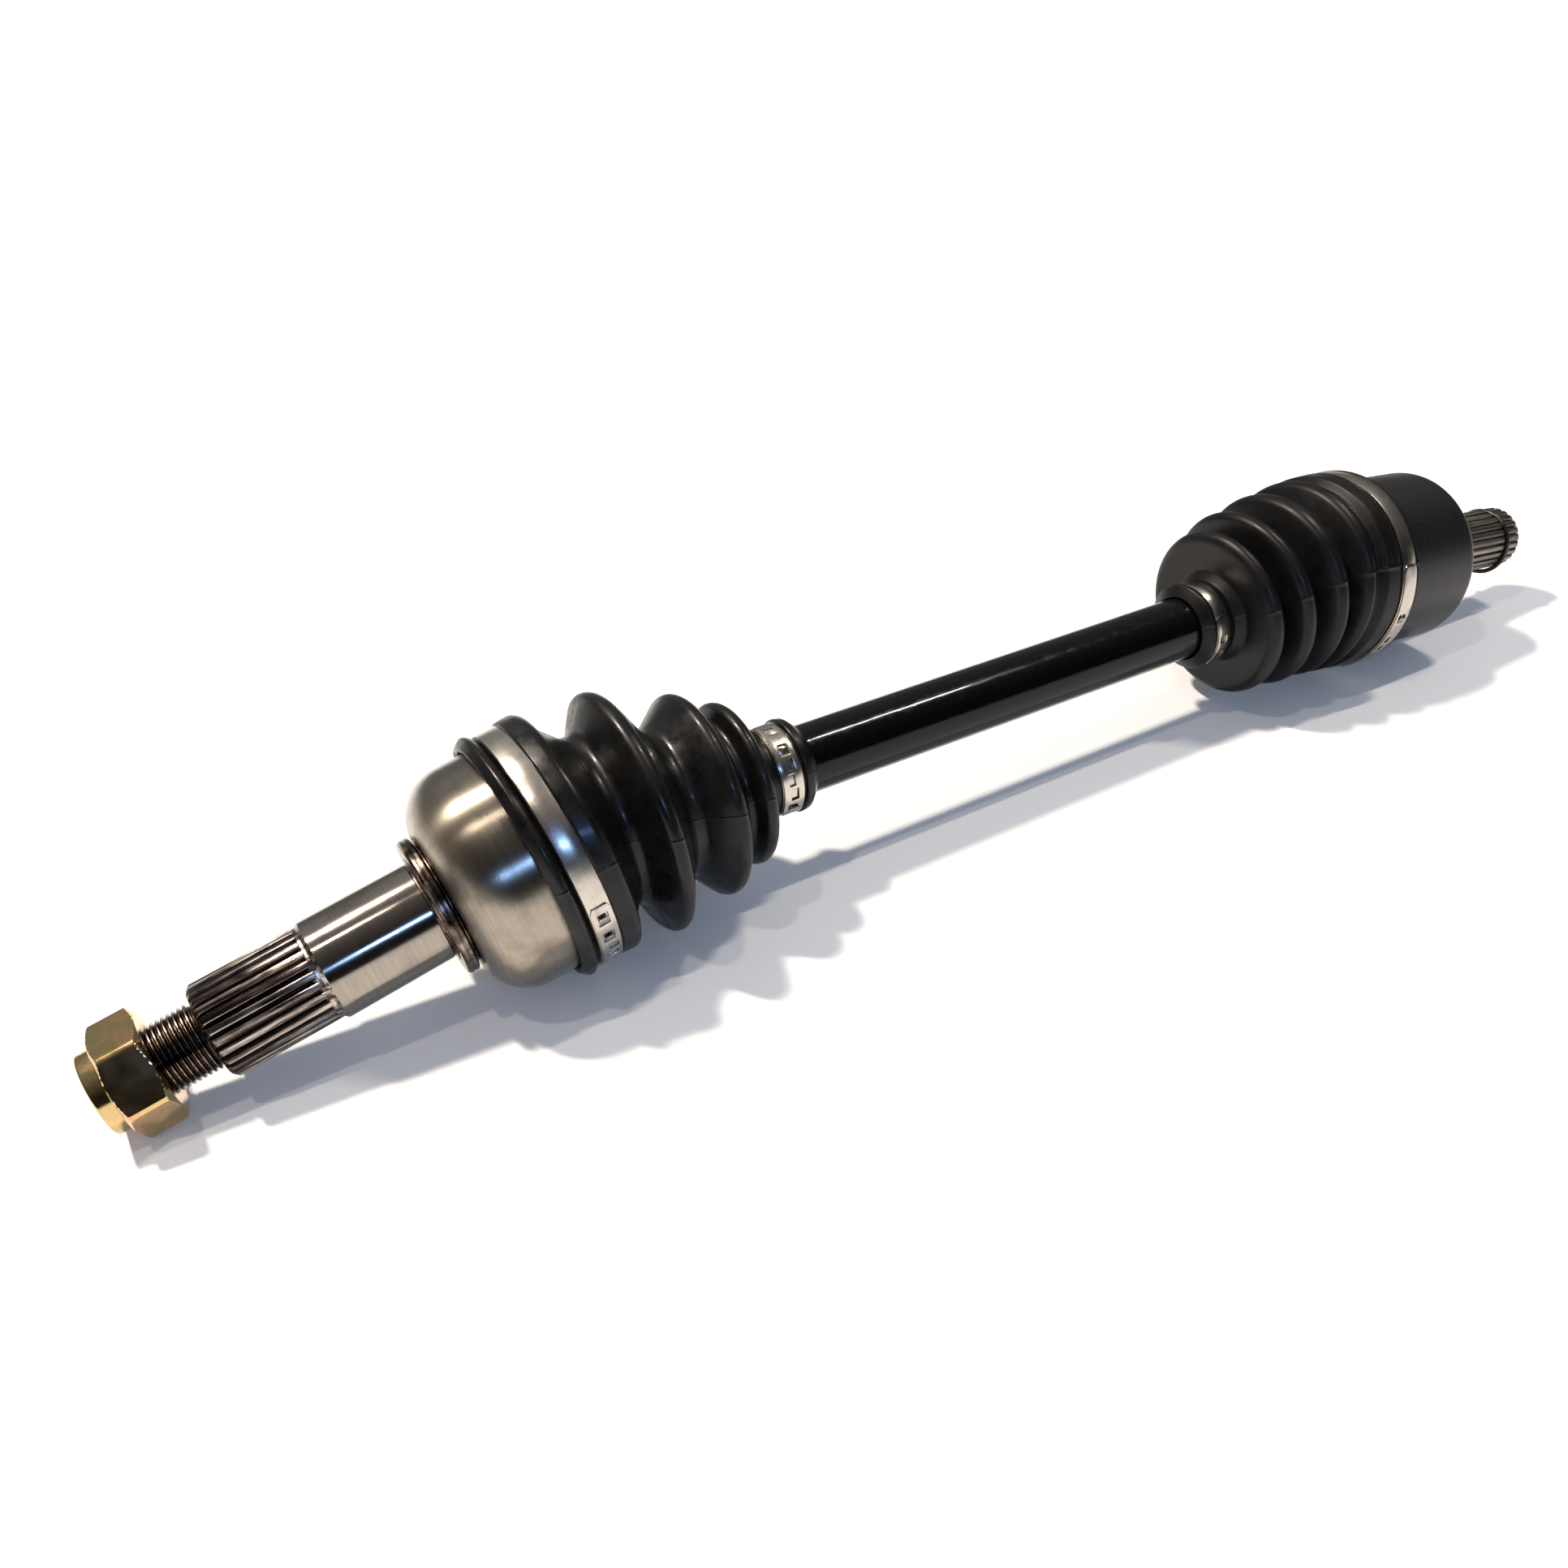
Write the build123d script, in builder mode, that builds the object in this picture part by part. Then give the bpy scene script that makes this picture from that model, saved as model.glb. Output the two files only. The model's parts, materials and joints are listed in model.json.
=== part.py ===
"""Front axle half shaft of an all-terrain vehicle: two ball joints, a solid bar and two bellows.

The axle lies on the ground as it is put down: both joints droop, so the stub axle, the bar and
the inboard cup each have their own slope. X runs from the wheel end to the differential end, Z is
up, and the origin is on the stub axle's axis, in the plane of the shoulder that the hub seats on.
"""

from build123d import *
from math import asin, cos, degrees, pi, radians, sin, sqrt, tan
import os

# ---- Lie of the axle -----------------------------------------------------------------------
STUB_TILT = 11.2  # slopes in degrees, positive when the axis climbs along +X
SHAFT_TILT = -0.6
CUP_TILT = -7.0
JOINT_SPAN = 352.0  # between the two joint centres
SHOULDER_TO_CENTRE = 31.0  # from the hub's shoulder to the outboard joint centre

# ---- Clearances ----------------------------------------------------------------------------
RUNNING = 0.05  # radial, between pieces that are pushed or threaded together
SLIDING = 0.3  # radial, between the cages and what they turn in

# ---- Stub axle -----------------------------------------------------------------------------
JOURNAL_RADIUS = 15.0
JOURNAL_LENGTH = 33.2
STUB_SPLINE_RADIUS = 14.05
STUB_SPLINE_LENGTH = 31.5
STUB_SPLINE_TEETH = 26
STUB_SPLINE_DEPTH = 1.5
THREAD_RADIUS = 10.0
THREAD_LENGTH = 29.0
SHOULDER_RADIUS = 21.2
SHOULDER_WIDTH = 3.6
STEP_RADIUS = 16.4
STEP_WIDTH = 0.5
RELIEF_DEPTH = 0.5
RELIEF_WIDTH = 0.8
NECK_DEPTH = 1.6
NECK_WIDTH = 0.8

# ---- Hub nut -------------------------------------------------------------------------------
NUT_ACROSS_FLATS = 30.0
NUT_HEX_LENGTH = 12.8
NUT_COLLAR_RADIUS = 12.0
NUT_COLLAR_LENGTH = 4.6
NUT_CHAMFER = 1.8
NUT_GAP = 13.6  # bare thread between the splines and the nut

# ---- Outboard joint ------------------------------------------------------------------------
BELL_RADIUS = 34.7
BELL_WALL = 4.6  # outside the ball tracks
DOME_RADIUS = 15.1
BELL_MOUTH = 14.0  # from the joint centre to the mouth
BELL_FLOOR = 20.5  # from the joint centre to the flat floor behind the balls
MOUTH_LIP = 6.0  # from the pitch circle out to the edge of the mouth
MOUTH_CONE = 5.0
BOOT_SEAT_DEPTH = 0.8
OUTBOARD_BALL_RADIUS = 6.75
OUTBOARD_TRACK_CLEARANCE = 0.35
OUTBOARD_SIDE_PLAY = 1.1  # how far a ball wanders across its track when the joint bends both ways
OUTBOARD_HALF_BEND = 21.5  # largest tilt of the cage to either side
OUTBOARD_CAGE_OUTSIDE = 2.9  # of the pitch circle
OUTBOARD_CAGE_INSIDE = 2.8
OUTBOARD_CAGE_HALF_WIDTH = 10.2
OUTBOARD_RACE_HALF_WIDTH = 9.5
OUTBOARD_RACE_WALL = 6.85  # between the tracks and the bore

# ---- Inboard joint -------------------------------------------------------------------------
CUP_RADIUS = 32.2
CUP_WALL = 4.5  # outside the ball tracks
CUP_MOUTH = 38.0  # from the joint centre to the mouth
CUP_END = 18.5  # from the joint centre to the outer end face
CUP_FLOOR = 4.2
CUP_EDGE_RADIUS = 5.0
CUP_MOUTH_FLARE = 2.6
INBOARD_BALL_RADIUS = 6.35
INBOARD_TRACK_CLEARANCE = 0.35
INBOARD_SIDE_PLAY = 0.1
INBOARD_HALF_BEND = 11.0
INBOARD_CAGE_OUTSIDE = 2.4  # of the pitch circle
INBOARD_CAGE_INSIDE = 2.5
INBOARD_CAGE_HALF_WIDTH = 9.5
INBOARD_RACE_HALF_WIDTH = 8.5
INBOARD_RACE_WALL = 5.25
STOP_RING_PLACE = 33.0  # from the joint centre, towards the mouth
STOP_RING_WIRE = 1.2
STUB_OUT_RADIUS = 11.9
STUB_OUT_LENGTH = 57.0
STUB_OUT_TEETH = 24
STUB_OUT_DEPTH = 1.2
STUB_OUT_ROOT = 4.0
STUB_CLIP_FROM_END = 9.0
STUB_CLIP_WIRE = 0.9
STUB_CLIP_DROP = 0.85

# ---- Bar -----------------------------------------------------------------------------------
BAR_RADIUS = 11.1
BAR_BOOT_SEAT_DEPTH = 0.5
BAR_NECK_STEP = 0.2  # the neck, which lets the joint bend inside the cup, over the bar's end
BAR_NECK_START = 4.0  # from the inner race
BAR_NECK_LENGTH = 31.0
BAR_NECK_CONE = 4.0
CLIP_WIRE = 0.8
CLIP_OPENING = 50.0
BAR_END_BEYOND_CLIP = 0.7

# ---- Boots and clamps ----------------------------------------------------------------------
BOOT_WALL = 2.2
SEAT_RAMP = 0.5  # sloped side of the shallow groove that a boot is clamped into
BAND_THICKNESS = 0.8
TAIL_THICKNESS = 0.6
LARGE_BAND_WIDTH = 6.8
SMALL_BAND_WIDTH = 7.5
NECK_MARGIN = 1.5  # straight neck left beyond a small band

# Places are distances from the joint centre along the bent joint, towards the inboard end.
# Each crest and valley has its place and its rise over the bell's or the cup's radius.
OUTBOARD_LARGE_BAND = 2.0
OUTBOARD_LIP_RISE = 2.0
OUTBOARD_LIP_WIDTH = 5.2
OUTBOARD_BEAD_RISE = 1.6
OUTBOARD_SMALL_BAND = 76.8
OUTBOARD_NECK_WALL = 2.7
OUTBOARD_END_LIP = 8.0
OUTBOARD_CRESTS = ((32.3, 3.5), (54.8, -2.6), (69.0, -8.2))
OUTBOARD_VALLEYS = ((23.0, -7.9), (44.0, -11.0), (63.0, -13.1))
OUTBOARD_CREST_WIDTH = 6.6

INBOARD_SMALL_BAND = -96.9
INBOARD_NECK_WALL = 3.4
INBOARD_END_LIP = 6.6
INBOARD_CRESTS = ((-82.2, -1.2), (-67.6, 0.5), (-53.8, 1.9), (-43.8, 3.3))
INBOARD_VALLEYS = ((-75.0, -10.2), (-60.8, -7.7), (-49.0, -4.2), (-40.2, 1.0))
INBOARD_CREST_WIDTH = 5.0
INBOARD_LARGE_BAND = -29.4
INBOARD_LIP_WALL = 4.0
INBOARD_RIDGE_RISE = 0.5
INBOARD_LIP_WIDTH = 2.2

BALLS = 6


# ---- Frames --------------------------------------------------------------------------------
def along(tilt):
    """Direction of an axis with this slope."""
    return Vector(cos(radians(tilt)), 0, sin(radians(tilt)))


def outward(tilt, turn=0.0):
    """Direction square to that axis, turned about it from straight up towards +Y."""
    up = Vector(-sin(radians(tilt)), 0, cos(radians(tilt)))
    return up * cos(radians(turn)) + Vector(0, 1, 0) * sin(radians(turn))


def side_view(centre, tilt):
    """Plane of a turned piece's profile: local X along its axis, local Y outwards."""
    return Plane(origin=centre, x_dir=along(tilt), z_dir=(0, -1, 0))


def cross_section(centre, tilt, distance):
    """Plane square to an axis, at a distance along it from the centre."""
    return Plane(origin=centre + along(tilt) * distance, x_dir=(0, 1, 0), z_dir=along(tilt))


def seat_rings(start, width, radius, depth):
    """Shallow groove under a clamp band, as places and radii, 1 mm in from each edge of the band."""
    first, last = start + 1, start + width - 1
    return [
        (first, radius),
        (first + SEAT_RAMP, radius - depth),
        (last - SEAT_RAMP, radius - depth),
        (last, radius),
    ]


def finish(piece, name):
    piece.label = name
    export_step(piece, f"parts/{name}.step")


OUTBOARD_CENTRE = along(STUB_TILT) * SHOULDER_TO_CENTRE
INBOARD_CENTRE = OUTBOARD_CENTRE + along(SHAFT_TILT) * JOINT_SPAN
OUTBOARD_CAGE_TILT = (STUB_TILT + SHAFT_TILT) / 2
INBOARD_CAGE_TILT = (SHAFT_TILT + CUP_TILT) / 2

outboard_track = OUTBOARD_BALL_RADIUS + OUTBOARD_TRACK_CLEARANCE
outboard_pitch = BELL_RADIUS - BELL_WALL - outboard_track
outboard_cage_outer = outboard_pitch + OUTBOARD_CAGE_OUTSIDE
outboard_cage_inner = outboard_pitch - OUTBOARD_CAGE_INSIDE
outboard_large_seat = BELL_RADIUS + BOOT_WALL
outboard_small_seat = BAR_RADIUS + OUTBOARD_NECK_WALL
outboard_bore = outboard_pitch - outboard_track - OUTBOARD_RACE_WALL
outer_end_radius = outboard_bore - RUNNING
inboard_track = INBOARD_BALL_RADIUS + INBOARD_TRACK_CLEARANCE
inboard_pitch = CUP_RADIUS - CUP_WALL - inboard_track
inboard_cage_outer = inboard_pitch + INBOARD_CAGE_OUTSIDE
inboard_cage_inner = inboard_pitch - INBOARD_CAGE_INSIDE
inboard_bore = inboard_pitch - inboard_track - INBOARD_RACE_WALL
inner_end_radius = inboard_bore - RUNNING
inboard_large_seat = CUP_RADIUS + INBOARD_LIP_WALL
inboard_small_seat = BAR_RADIUS + INBOARD_NECK_WALL

stub_side = side_view(OUTBOARD_CENTRE, STUB_TILT)
bar_side = side_view(OUTBOARD_CENTRE, SHAFT_TILT)
cup_side = side_view(INBOARD_CENTRE, CUP_TILT)
stub_axis = Axis(OUTBOARD_CENTRE, along(STUB_TILT))
bar_axis = Axis(OUTBOARD_CENTRE, along(SHAFT_TILT))
cup_axis = Axis(INBOARD_CENTRE, along(CUP_TILT))

os.makedirs("parts", exist_ok=True)


# ---- Shared features -----------------------------------------------------------------------
def cut_ball_tracks(centre, tilt, pitch_radius, track_radius, side_play, half_bend):
    """Cuts the channels that the balls roll in, each bent about the joint centre."""
    reach = half_bend + degrees(asin(track_radius / pitch_radius))
    for ball in range(BALLS):
        out = outward(tilt, ball * 360 / BALLS)
        pivot = along(tilt).cross(out)
        start = out * cos(radians(reach)) + along(tilt) * sin(radians(reach))
        with BuildSketch(Plane(origin=centre, x_dir=pivot, z_dir=pivot.cross(start))) as track:
            with Locations((0, pitch_radius)):
                SlotCenterToCenter(2 * side_play, 2 * track_radius)
        revolve(track.sketch, Axis(centre, pivot), 2 * reach, mode=Mode.SUBTRACT)


def cut_spline_gaps(plane, radius, depth, teeth, length):
    """Cuts the gaps between straight spline teeth, over a length along the plane's normal."""
    half_floor = 0.14 * 2 * pi * (radius - depth) / teeth
    half_top = half_floor + 2 * depth * tan(radians(30))
    with BuildSketch(plane) as gaps:
        with PolarLocations(0, teeth):
            Polygon(
                (radius - depth, -half_floor),
                (radius + depth, -half_top),
                (radius + depth, half_top),
                (radius - depth, half_floor),
                align=None,
            )
    extrude(gaps.sketch, length, mode=Mode.SUBTRACT)


def inner_race(centre, tilt, bore, outer, half_width, pitch_radius, track_radius, side_play, half_bend):
    """Ball with a splined bore, flat faces and six tracks."""
    edge = sqrt(outer**2 - half_width**2)
    with BuildPart() as race:
        with BuildSketch(side_view(centre, tilt)):
            with BuildLine():
                Line((-half_width, bore), (-half_width, edge))
                ThreePointArc((-half_width, edge), (0, outer), (half_width, edge))
                Polyline((half_width, edge), (half_width, bore), (-half_width, bore))
            make_face()
        revolve(axis=Axis(centre, along(tilt)))
        cut_ball_tracks(centre, tilt, pitch_radius, track_radius, side_play, half_bend)
    return race.part


def cage(centre, tilt, outer, inner, half_width, ball_radius):
    """Spherical shell with one rounded window for each ball."""
    outer_edge = sqrt(outer**2 - half_width**2)
    inner_edge = sqrt(inner**2 - half_width**2)
    with BuildPart() as shell:
        with BuildSketch(side_view(centre, tilt)):
            with BuildLine():
                ThreePointArc((-half_width, outer_edge), (0, outer), (half_width, outer_edge))
                Line((half_width, outer_edge), (half_width, inner_edge))
                ThreePointArc((half_width, inner_edge), (0, inner), (-half_width, inner_edge))
                Line((-half_width, inner_edge), (-half_width, outer_edge))
            make_face()
        revolve(axis=Axis(centre, along(tilt)))
        for ball in range(BALLS):
            out = outward(tilt, ball * 360 / BALLS)
            with BuildSketch(Plane(origin=centre, x_dir=along(tilt), z_dir=out)):
                RectangleRounded(2 * (ball_radius + RUNNING), 2.3 * ball_radius, 0.5 * ball_radius)
            extrude(amount=outer + 1, mode=Mode.SUBTRACT)
    return shell.part


def make_balls(side, centre, tilt, pitch_radius, ball_radius):
    for ball in range(BALLS):
        with BuildPart() as steel_ball:
            with Locations(centre + outward(tilt, ball * 360 / BALLS) * pitch_radius):
                Sphere(ball_radius)
        finish(steel_ball.part, f"{side}_ball_{ball + 1}")


def wire_ring(centre, tilt, radius, wire, opening, opening_turn=0.0):
    """Open ring of round wire."""
    axis_dir = along(tilt)
    start = outward(tilt, opening_turn - opening / 2)
    with BuildPart() as ring:
        with BuildSketch(Plane(origin=centre, x_dir=axis_dir, z_dir=axis_dir.cross(start))):
            with Locations((0, radius)):
                Circle(wire)
        revolve(axis=Axis(centre, axis_dir), revolution_arc=360 - opening)
    return ring.part


def band_clamp(centre, tilt, start, width, seat, tail_turn, tail_sweep):
    """Stainless band with a second layer, the tail, hooked over it through square windows."""
    inner_radius = seat + RUNNING
    outer = inner_radius + BAND_THICKNESS
    tail_width = 0.86 * width
    middle = start + width / 2
    axis = Axis(centre, along(tilt))
    windows = 3
    with BuildPart() as clamp:
        with BuildSketch(side_view(centre, tilt)):
            with Locations((middle, inner_radius + BAND_THICKNESS / 2)):
                Rectangle(width, BAND_THICKNESS)
        revolve(axis=axis)
        tail_start = outward(tilt, tail_turn)
        with BuildSketch(Plane(origin=centre, x_dir=along(tilt), z_dir=along(tilt).cross(tail_start))):
            with Locations((middle, outer + TAIL_THICKNESS / 2)):
                Rectangle(tail_width, TAIL_THICKNESS)
        revolve(axis=axis, revolution_arc=tail_sweep)
        for window in range(windows):
            turn = tail_turn - tail_sweep * (0.2 + 0.3 * window)
            spot = centre + along(tilt) * middle
            face = Plane(origin=spot, x_dir=along(tilt), z_dir=outward(tilt, turn))
            with BuildSketch(face.offset(outer)):
                Rectangle(0.45 * tail_width, 0.3 * width)
            extrude(amount=2 * TAIL_THICKNESS, mode=Mode.SUBTRACT)
    return clamp.part


def bellows(outside, inside, bend_plane):
    """Rubber boot lofted ring by ring along the bent joint, then hollowed the same way."""
    with BuildPart() as boot:
        for place, radius in outside:
            with BuildSketch(bend_plane(place)):
                Circle(radius)
        loft(ruled=True)
        for place, radius in inside:
            with BuildSketch(bend_plane(place)):
                Circle(radius)
        loft(ruled=True, mode=Mode.SUBTRACT)
    return boot.part


# ---- Outboard housing: stub axle and bell in one forging -----------------------------------
shoulder = -SHOULDER_TO_CENTRE
step = shoulder - STEP_WIDTH
journal_end = step - RELIEF_WIDTH
journal_start = shoulder - JOURNAL_LENGTH - STEP_WIDTH - RELIEF_WIDTH
spline_start = journal_start - STUB_SPLINE_LENGTH
stub_end = spline_start - THREAD_LENGTH
neck_start = shoulder + SHOULDER_WIDTH
dome_start = neck_start + NECK_WIDTH
dome_end = dome_start + DOME_RADIUS
dome_foot = BELL_RADIUS - DOME_RADIUS
neck_radius = dome_foot - NECK_DEPTH
dome_crown = dome_start + DOME_RADIUS * (1 - cos(radians(45)))
dome_shoulder = BELL_RADIUS - DOME_RADIUS * (1 - sin(radians(45)))
bell_seat = seat_rings(OUTBOARD_LARGE_BAND, LARGE_BAND_WIDTH, BELL_RADIUS, BOOT_SEAT_DEPTH)
socket = outboard_cage_outer + SLIDING
cone_start = BELL_MOUTH - MOUTH_CONE
floor_radius = sqrt(socket**2 - BELL_FLOOR**2)
cone_radius = sqrt(socket**2 - cone_start**2)

with BuildPart() as outboard_housing:
    with BuildSketch(stub_side):
        with BuildLine():
            Polyline(
                (-BELL_FLOOR, 0),
                (stub_end, 0),
                (stub_end, THREAD_RADIUS - 1),
                (stub_end + 1, THREAD_RADIUS),
                (spline_start, THREAD_RADIUS),
                (spline_start, STUB_SPLINE_RADIUS - STUB_SPLINE_DEPTH),
                (spline_start + 2, STUB_SPLINE_RADIUS),
                (journal_start, STUB_SPLINE_RADIUS),
                (journal_start + 1, JOURNAL_RADIUS),
                (journal_end, JOURNAL_RADIUS),
                (journal_end, JOURNAL_RADIUS - RELIEF_DEPTH),
                (step, JOURNAL_RADIUS - RELIEF_DEPTH),
                (step, STEP_RADIUS),
                (shoulder, STEP_RADIUS),
                (shoulder, SHOULDER_RADIUS - 0.6),
                (shoulder + 0.6, SHOULDER_RADIUS),
                (neck_start - 0.6, SHOULDER_RADIUS),
                (neck_start, SHOULDER_RADIUS - 0.6),
                (neck_start, neck_radius),
                (dome_start, neck_radius),
                (dome_start, dome_foot),
            )
            ThreePointArc((dome_start, dome_foot), (dome_crown, dome_shoulder), (dome_end, BELL_RADIUS))
            Polyline(
                (dome_end, BELL_RADIUS),
                *bell_seat,
                (BELL_MOUTH - 1, BELL_RADIUS),
                (BELL_MOUTH, BELL_RADIUS - 1),
                (BELL_MOUTH, outboard_pitch + MOUTH_LIP),
                (cone_start, cone_radius),
            )
            ThreePointArc((cone_start, cone_radius), (0, socket), (-BELL_FLOOR, floor_radius))
            Line((-BELL_FLOOR, floor_radius), (-BELL_FLOOR, 0))
        make_face()
    revolve(axis=stub_axis)
    cut_ball_tracks(
        OUTBOARD_CENTRE,
        STUB_TILT,
        outboard_pitch,
        outboard_track,
        OUTBOARD_SIDE_PLAY,
        OUTBOARD_HALF_BEND,
    )
    cut_spline_gaps(
        cross_section(OUTBOARD_CENTRE, STUB_TILT, spline_start),
        STUB_SPLINE_RADIUS,
        STUB_SPLINE_DEPTH,
        STUB_SPLINE_TEETH,
        STUB_SPLINE_LENGTH - 1.5,
    )
finish(outboard_housing.part, "outboard_housing")

# ---- Hub nut -------------------------------------------------------------------------------
nut_inner_face = spline_start - NUT_GAP
nut_outer_face = nut_inner_face - NUT_HEX_LENGTH
collar_end = nut_outer_face - NUT_COLLAR_LENGTH
nut_corner = NUT_ACROSS_FLATS / 2 / cos(radians(30))

with BuildPart() as hub_nut:
    with BuildSketch(cross_section(OUTBOARD_CENTRE, STUB_TILT, nut_outer_face)):
        RegularPolygon(NUT_ACROSS_FLATS / 2, 6, major_radius=False)
    extrude(amount=NUT_HEX_LENGTH)
    with BuildSketch(stub_side):
        with BuildLine():
            Polyline(
                (nut_outer_face, 0),
                (nut_outer_face, nut_corner - NUT_CHAMFER),
                (nut_outer_face + NUT_CHAMFER * tan(radians(30)), nut_corner),
                (nut_inner_face - NUT_CHAMFER * tan(radians(30)), nut_corner),
                (nut_inner_face, nut_corner - NUT_CHAMFER),
                (nut_inner_face, 0),
                close=True,
            )
        make_face()
    revolve(axis=stub_axis, mode=Mode.INTERSECT)
    with BuildSketch(cross_section(OUTBOARD_CENTRE, STUB_TILT, collar_end)):
        Circle(NUT_COLLAR_RADIUS)
    extrude(amount=NUT_COLLAR_LENGTH + 1)
    with BuildSketch(cross_section(OUTBOARD_CENTRE, STUB_TILT, collar_end)):
        Circle(THREAD_RADIUS + RUNNING)
    extrude(amount=NUT_COLLAR_LENGTH + NUT_HEX_LENGTH, mode=Mode.SUBTRACT)
finish(hub_nut.part, "hub_nut")

# ---- Outboard joint: race, cage and balls --------------------------------------------------
outboard_inner_race = inner_race(
    OUTBOARD_CENTRE,
    SHAFT_TILT,
    outboard_bore,
    outboard_cage_inner - SLIDING,
    OUTBOARD_RACE_HALF_WIDTH,
    outboard_pitch,
    outboard_track,
    OUTBOARD_SIDE_PLAY,
    OUTBOARD_HALF_BEND,
)
finish(outboard_inner_race, "outboard_inner_race")

outboard_cage = cage(
    OUTBOARD_CENTRE,
    OUTBOARD_CAGE_TILT,
    outboard_cage_outer,
    outboard_cage_inner,
    OUTBOARD_CAGE_HALF_WIDTH,
    OUTBOARD_BALL_RADIUS,
)
finish(outboard_cage, "outboard_cage")
make_balls("outboard", OUTBOARD_CENTRE, OUTBOARD_CAGE_TILT, outboard_pitch, OUTBOARD_BALL_RADIUS)

# ---- Bar -----------------------------------------------------------------------------------
outboard_clip = -OUTBOARD_RACE_HALF_WIDTH - CLIP_WIRE - RUNNING
inboard_clip = JOINT_SPAN + INBOARD_RACE_HALF_WIDTH + CLIP_WIRE + RUNNING
bar_start = outboard_clip - CLIP_WIRE - BAR_END_BEYOND_CLIP
bar_end = inboard_clip + CLIP_WIRE + BAR_END_BEYOND_CLIP
outboard_neck = seat_rings(OUTBOARD_SMALL_BAND, SMALL_BAND_WIDTH, BAR_RADIUS, BAR_BOOT_SEAT_DEPTH)
inboard_neck = seat_rings(INBOARD_SMALL_BAND, SMALL_BAND_WIDTH, BAR_RADIUS, BAR_BOOT_SEAT_DEPTH)
outer_clip_floor = outer_end_radius - CLIP_WIRE
inner_clip_floor = inner_end_radius - CLIP_WIRE
thin_end = JOINT_SPAN - INBOARD_RACE_HALF_WIDTH - BAR_NECK_START
thin_start = thin_end - BAR_NECK_LENGTH

with BuildPart() as axle_shaft:
    with BuildSketch(bar_side):
        with BuildLine():
            Polyline(
                (bar_start, 0),
                (bar_start, outer_end_radius - 0.5),
                (bar_start + 0.5, outer_end_radius),
                (outboard_clip - CLIP_WIRE, outer_end_radius),
                (outboard_clip - CLIP_WIRE, outer_clip_floor),
                (outboard_clip + CLIP_WIRE, outer_clip_floor),
                (outboard_clip + CLIP_WIRE, outer_end_radius),
                (OUTBOARD_RACE_HALF_WIDTH + RUNNING, outer_end_radius),
                (OUTBOARD_RACE_HALF_WIDTH + RUNNING, BAR_RADIUS),
                *outboard_neck,
                *[(JOINT_SPAN + place, radius) for place, radius in inboard_neck],
                (thin_start - BAR_NECK_CONE, BAR_RADIUS),
                (thin_start, inner_end_radius + BAR_NECK_STEP),
                (thin_end, inner_end_radius + BAR_NECK_STEP),
                (thin_end + 1, BAR_RADIUS),
                (JOINT_SPAN - INBOARD_RACE_HALF_WIDTH - RUNNING, BAR_RADIUS),
                (JOINT_SPAN - INBOARD_RACE_HALF_WIDTH - RUNNING, inner_end_radius),
                (inboard_clip - CLIP_WIRE, inner_end_radius),
                (inboard_clip - CLIP_WIRE, inner_clip_floor),
                (inboard_clip + CLIP_WIRE, inner_clip_floor),
                (inboard_clip + CLIP_WIRE, inner_end_radius),
                (bar_end - 0.5, inner_end_radius),
                (bar_end, inner_end_radius - 0.5),
                (bar_end, 0),
                close=True,
            )
        make_face()
    revolve(axis=bar_axis)
finish(axle_shaft.part, "axle_shaft")

clips = (("outboard", outboard_clip, outer_end_radius), ("inboard", inboard_clip, inner_end_radius))
for side, place, end_radius in clips:
    clip_centre = OUTBOARD_CENTRE + along(SHAFT_TILT) * place
    clip = wire_ring(clip_centre, SHAFT_TILT, end_radius + RUNNING, CLIP_WIRE - RUNNING, CLIP_OPENING)
    finish(clip, f"{side}_shaft_circlip")

# ---- Inboard joint: race, cage and balls ---------------------------------------------------
inboard_inner_race = inner_race(
    INBOARD_CENTRE,
    SHAFT_TILT,
    inboard_bore,
    inboard_cage_inner - SLIDING,
    INBOARD_RACE_HALF_WIDTH,
    inboard_pitch,
    inboard_track,
    INBOARD_SIDE_PLAY,
    INBOARD_HALF_BEND,
)
finish(inboard_inner_race, "inboard_inner_race")

inboard_cage = cage(
    INBOARD_CENTRE,
    INBOARD_CAGE_TILT,
    inboard_cage_outer,
    inboard_cage_inner,
    INBOARD_CAGE_HALF_WIDTH,
    INBOARD_BALL_RADIUS,
)
finish(inboard_cage, "inboard_cage")
make_balls("inboard", INBOARD_CENTRE, INBOARD_CAGE_TILT, inboard_pitch, INBOARD_BALL_RADIUS)

# ---- Inboard cup and its splined stub ------------------------------------------------------
cup_bore = inboard_cage_outer + SLIDING
cup_inside_end = CUP_END - CUP_FLOOR
cup_stub_end = CUP_END + STUB_OUT_LENGTH
stop_ring_radius = cup_bore + 0.4 * STOP_RING_WIRE
stub_clip_place = cup_stub_end - STUB_CLIP_FROM_END
stub_clip_floor = STUB_OUT_RADIUS - STUB_OUT_DEPTH - 0.1
edge_middle = CUP_EDGE_RADIUS * (1 - cos(radians(45)))
cup_seat = seat_rings(INBOARD_LARGE_BAND, LARGE_BAND_WIDTH, CUP_RADIUS, BOOT_SEAT_DEPTH)

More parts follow.
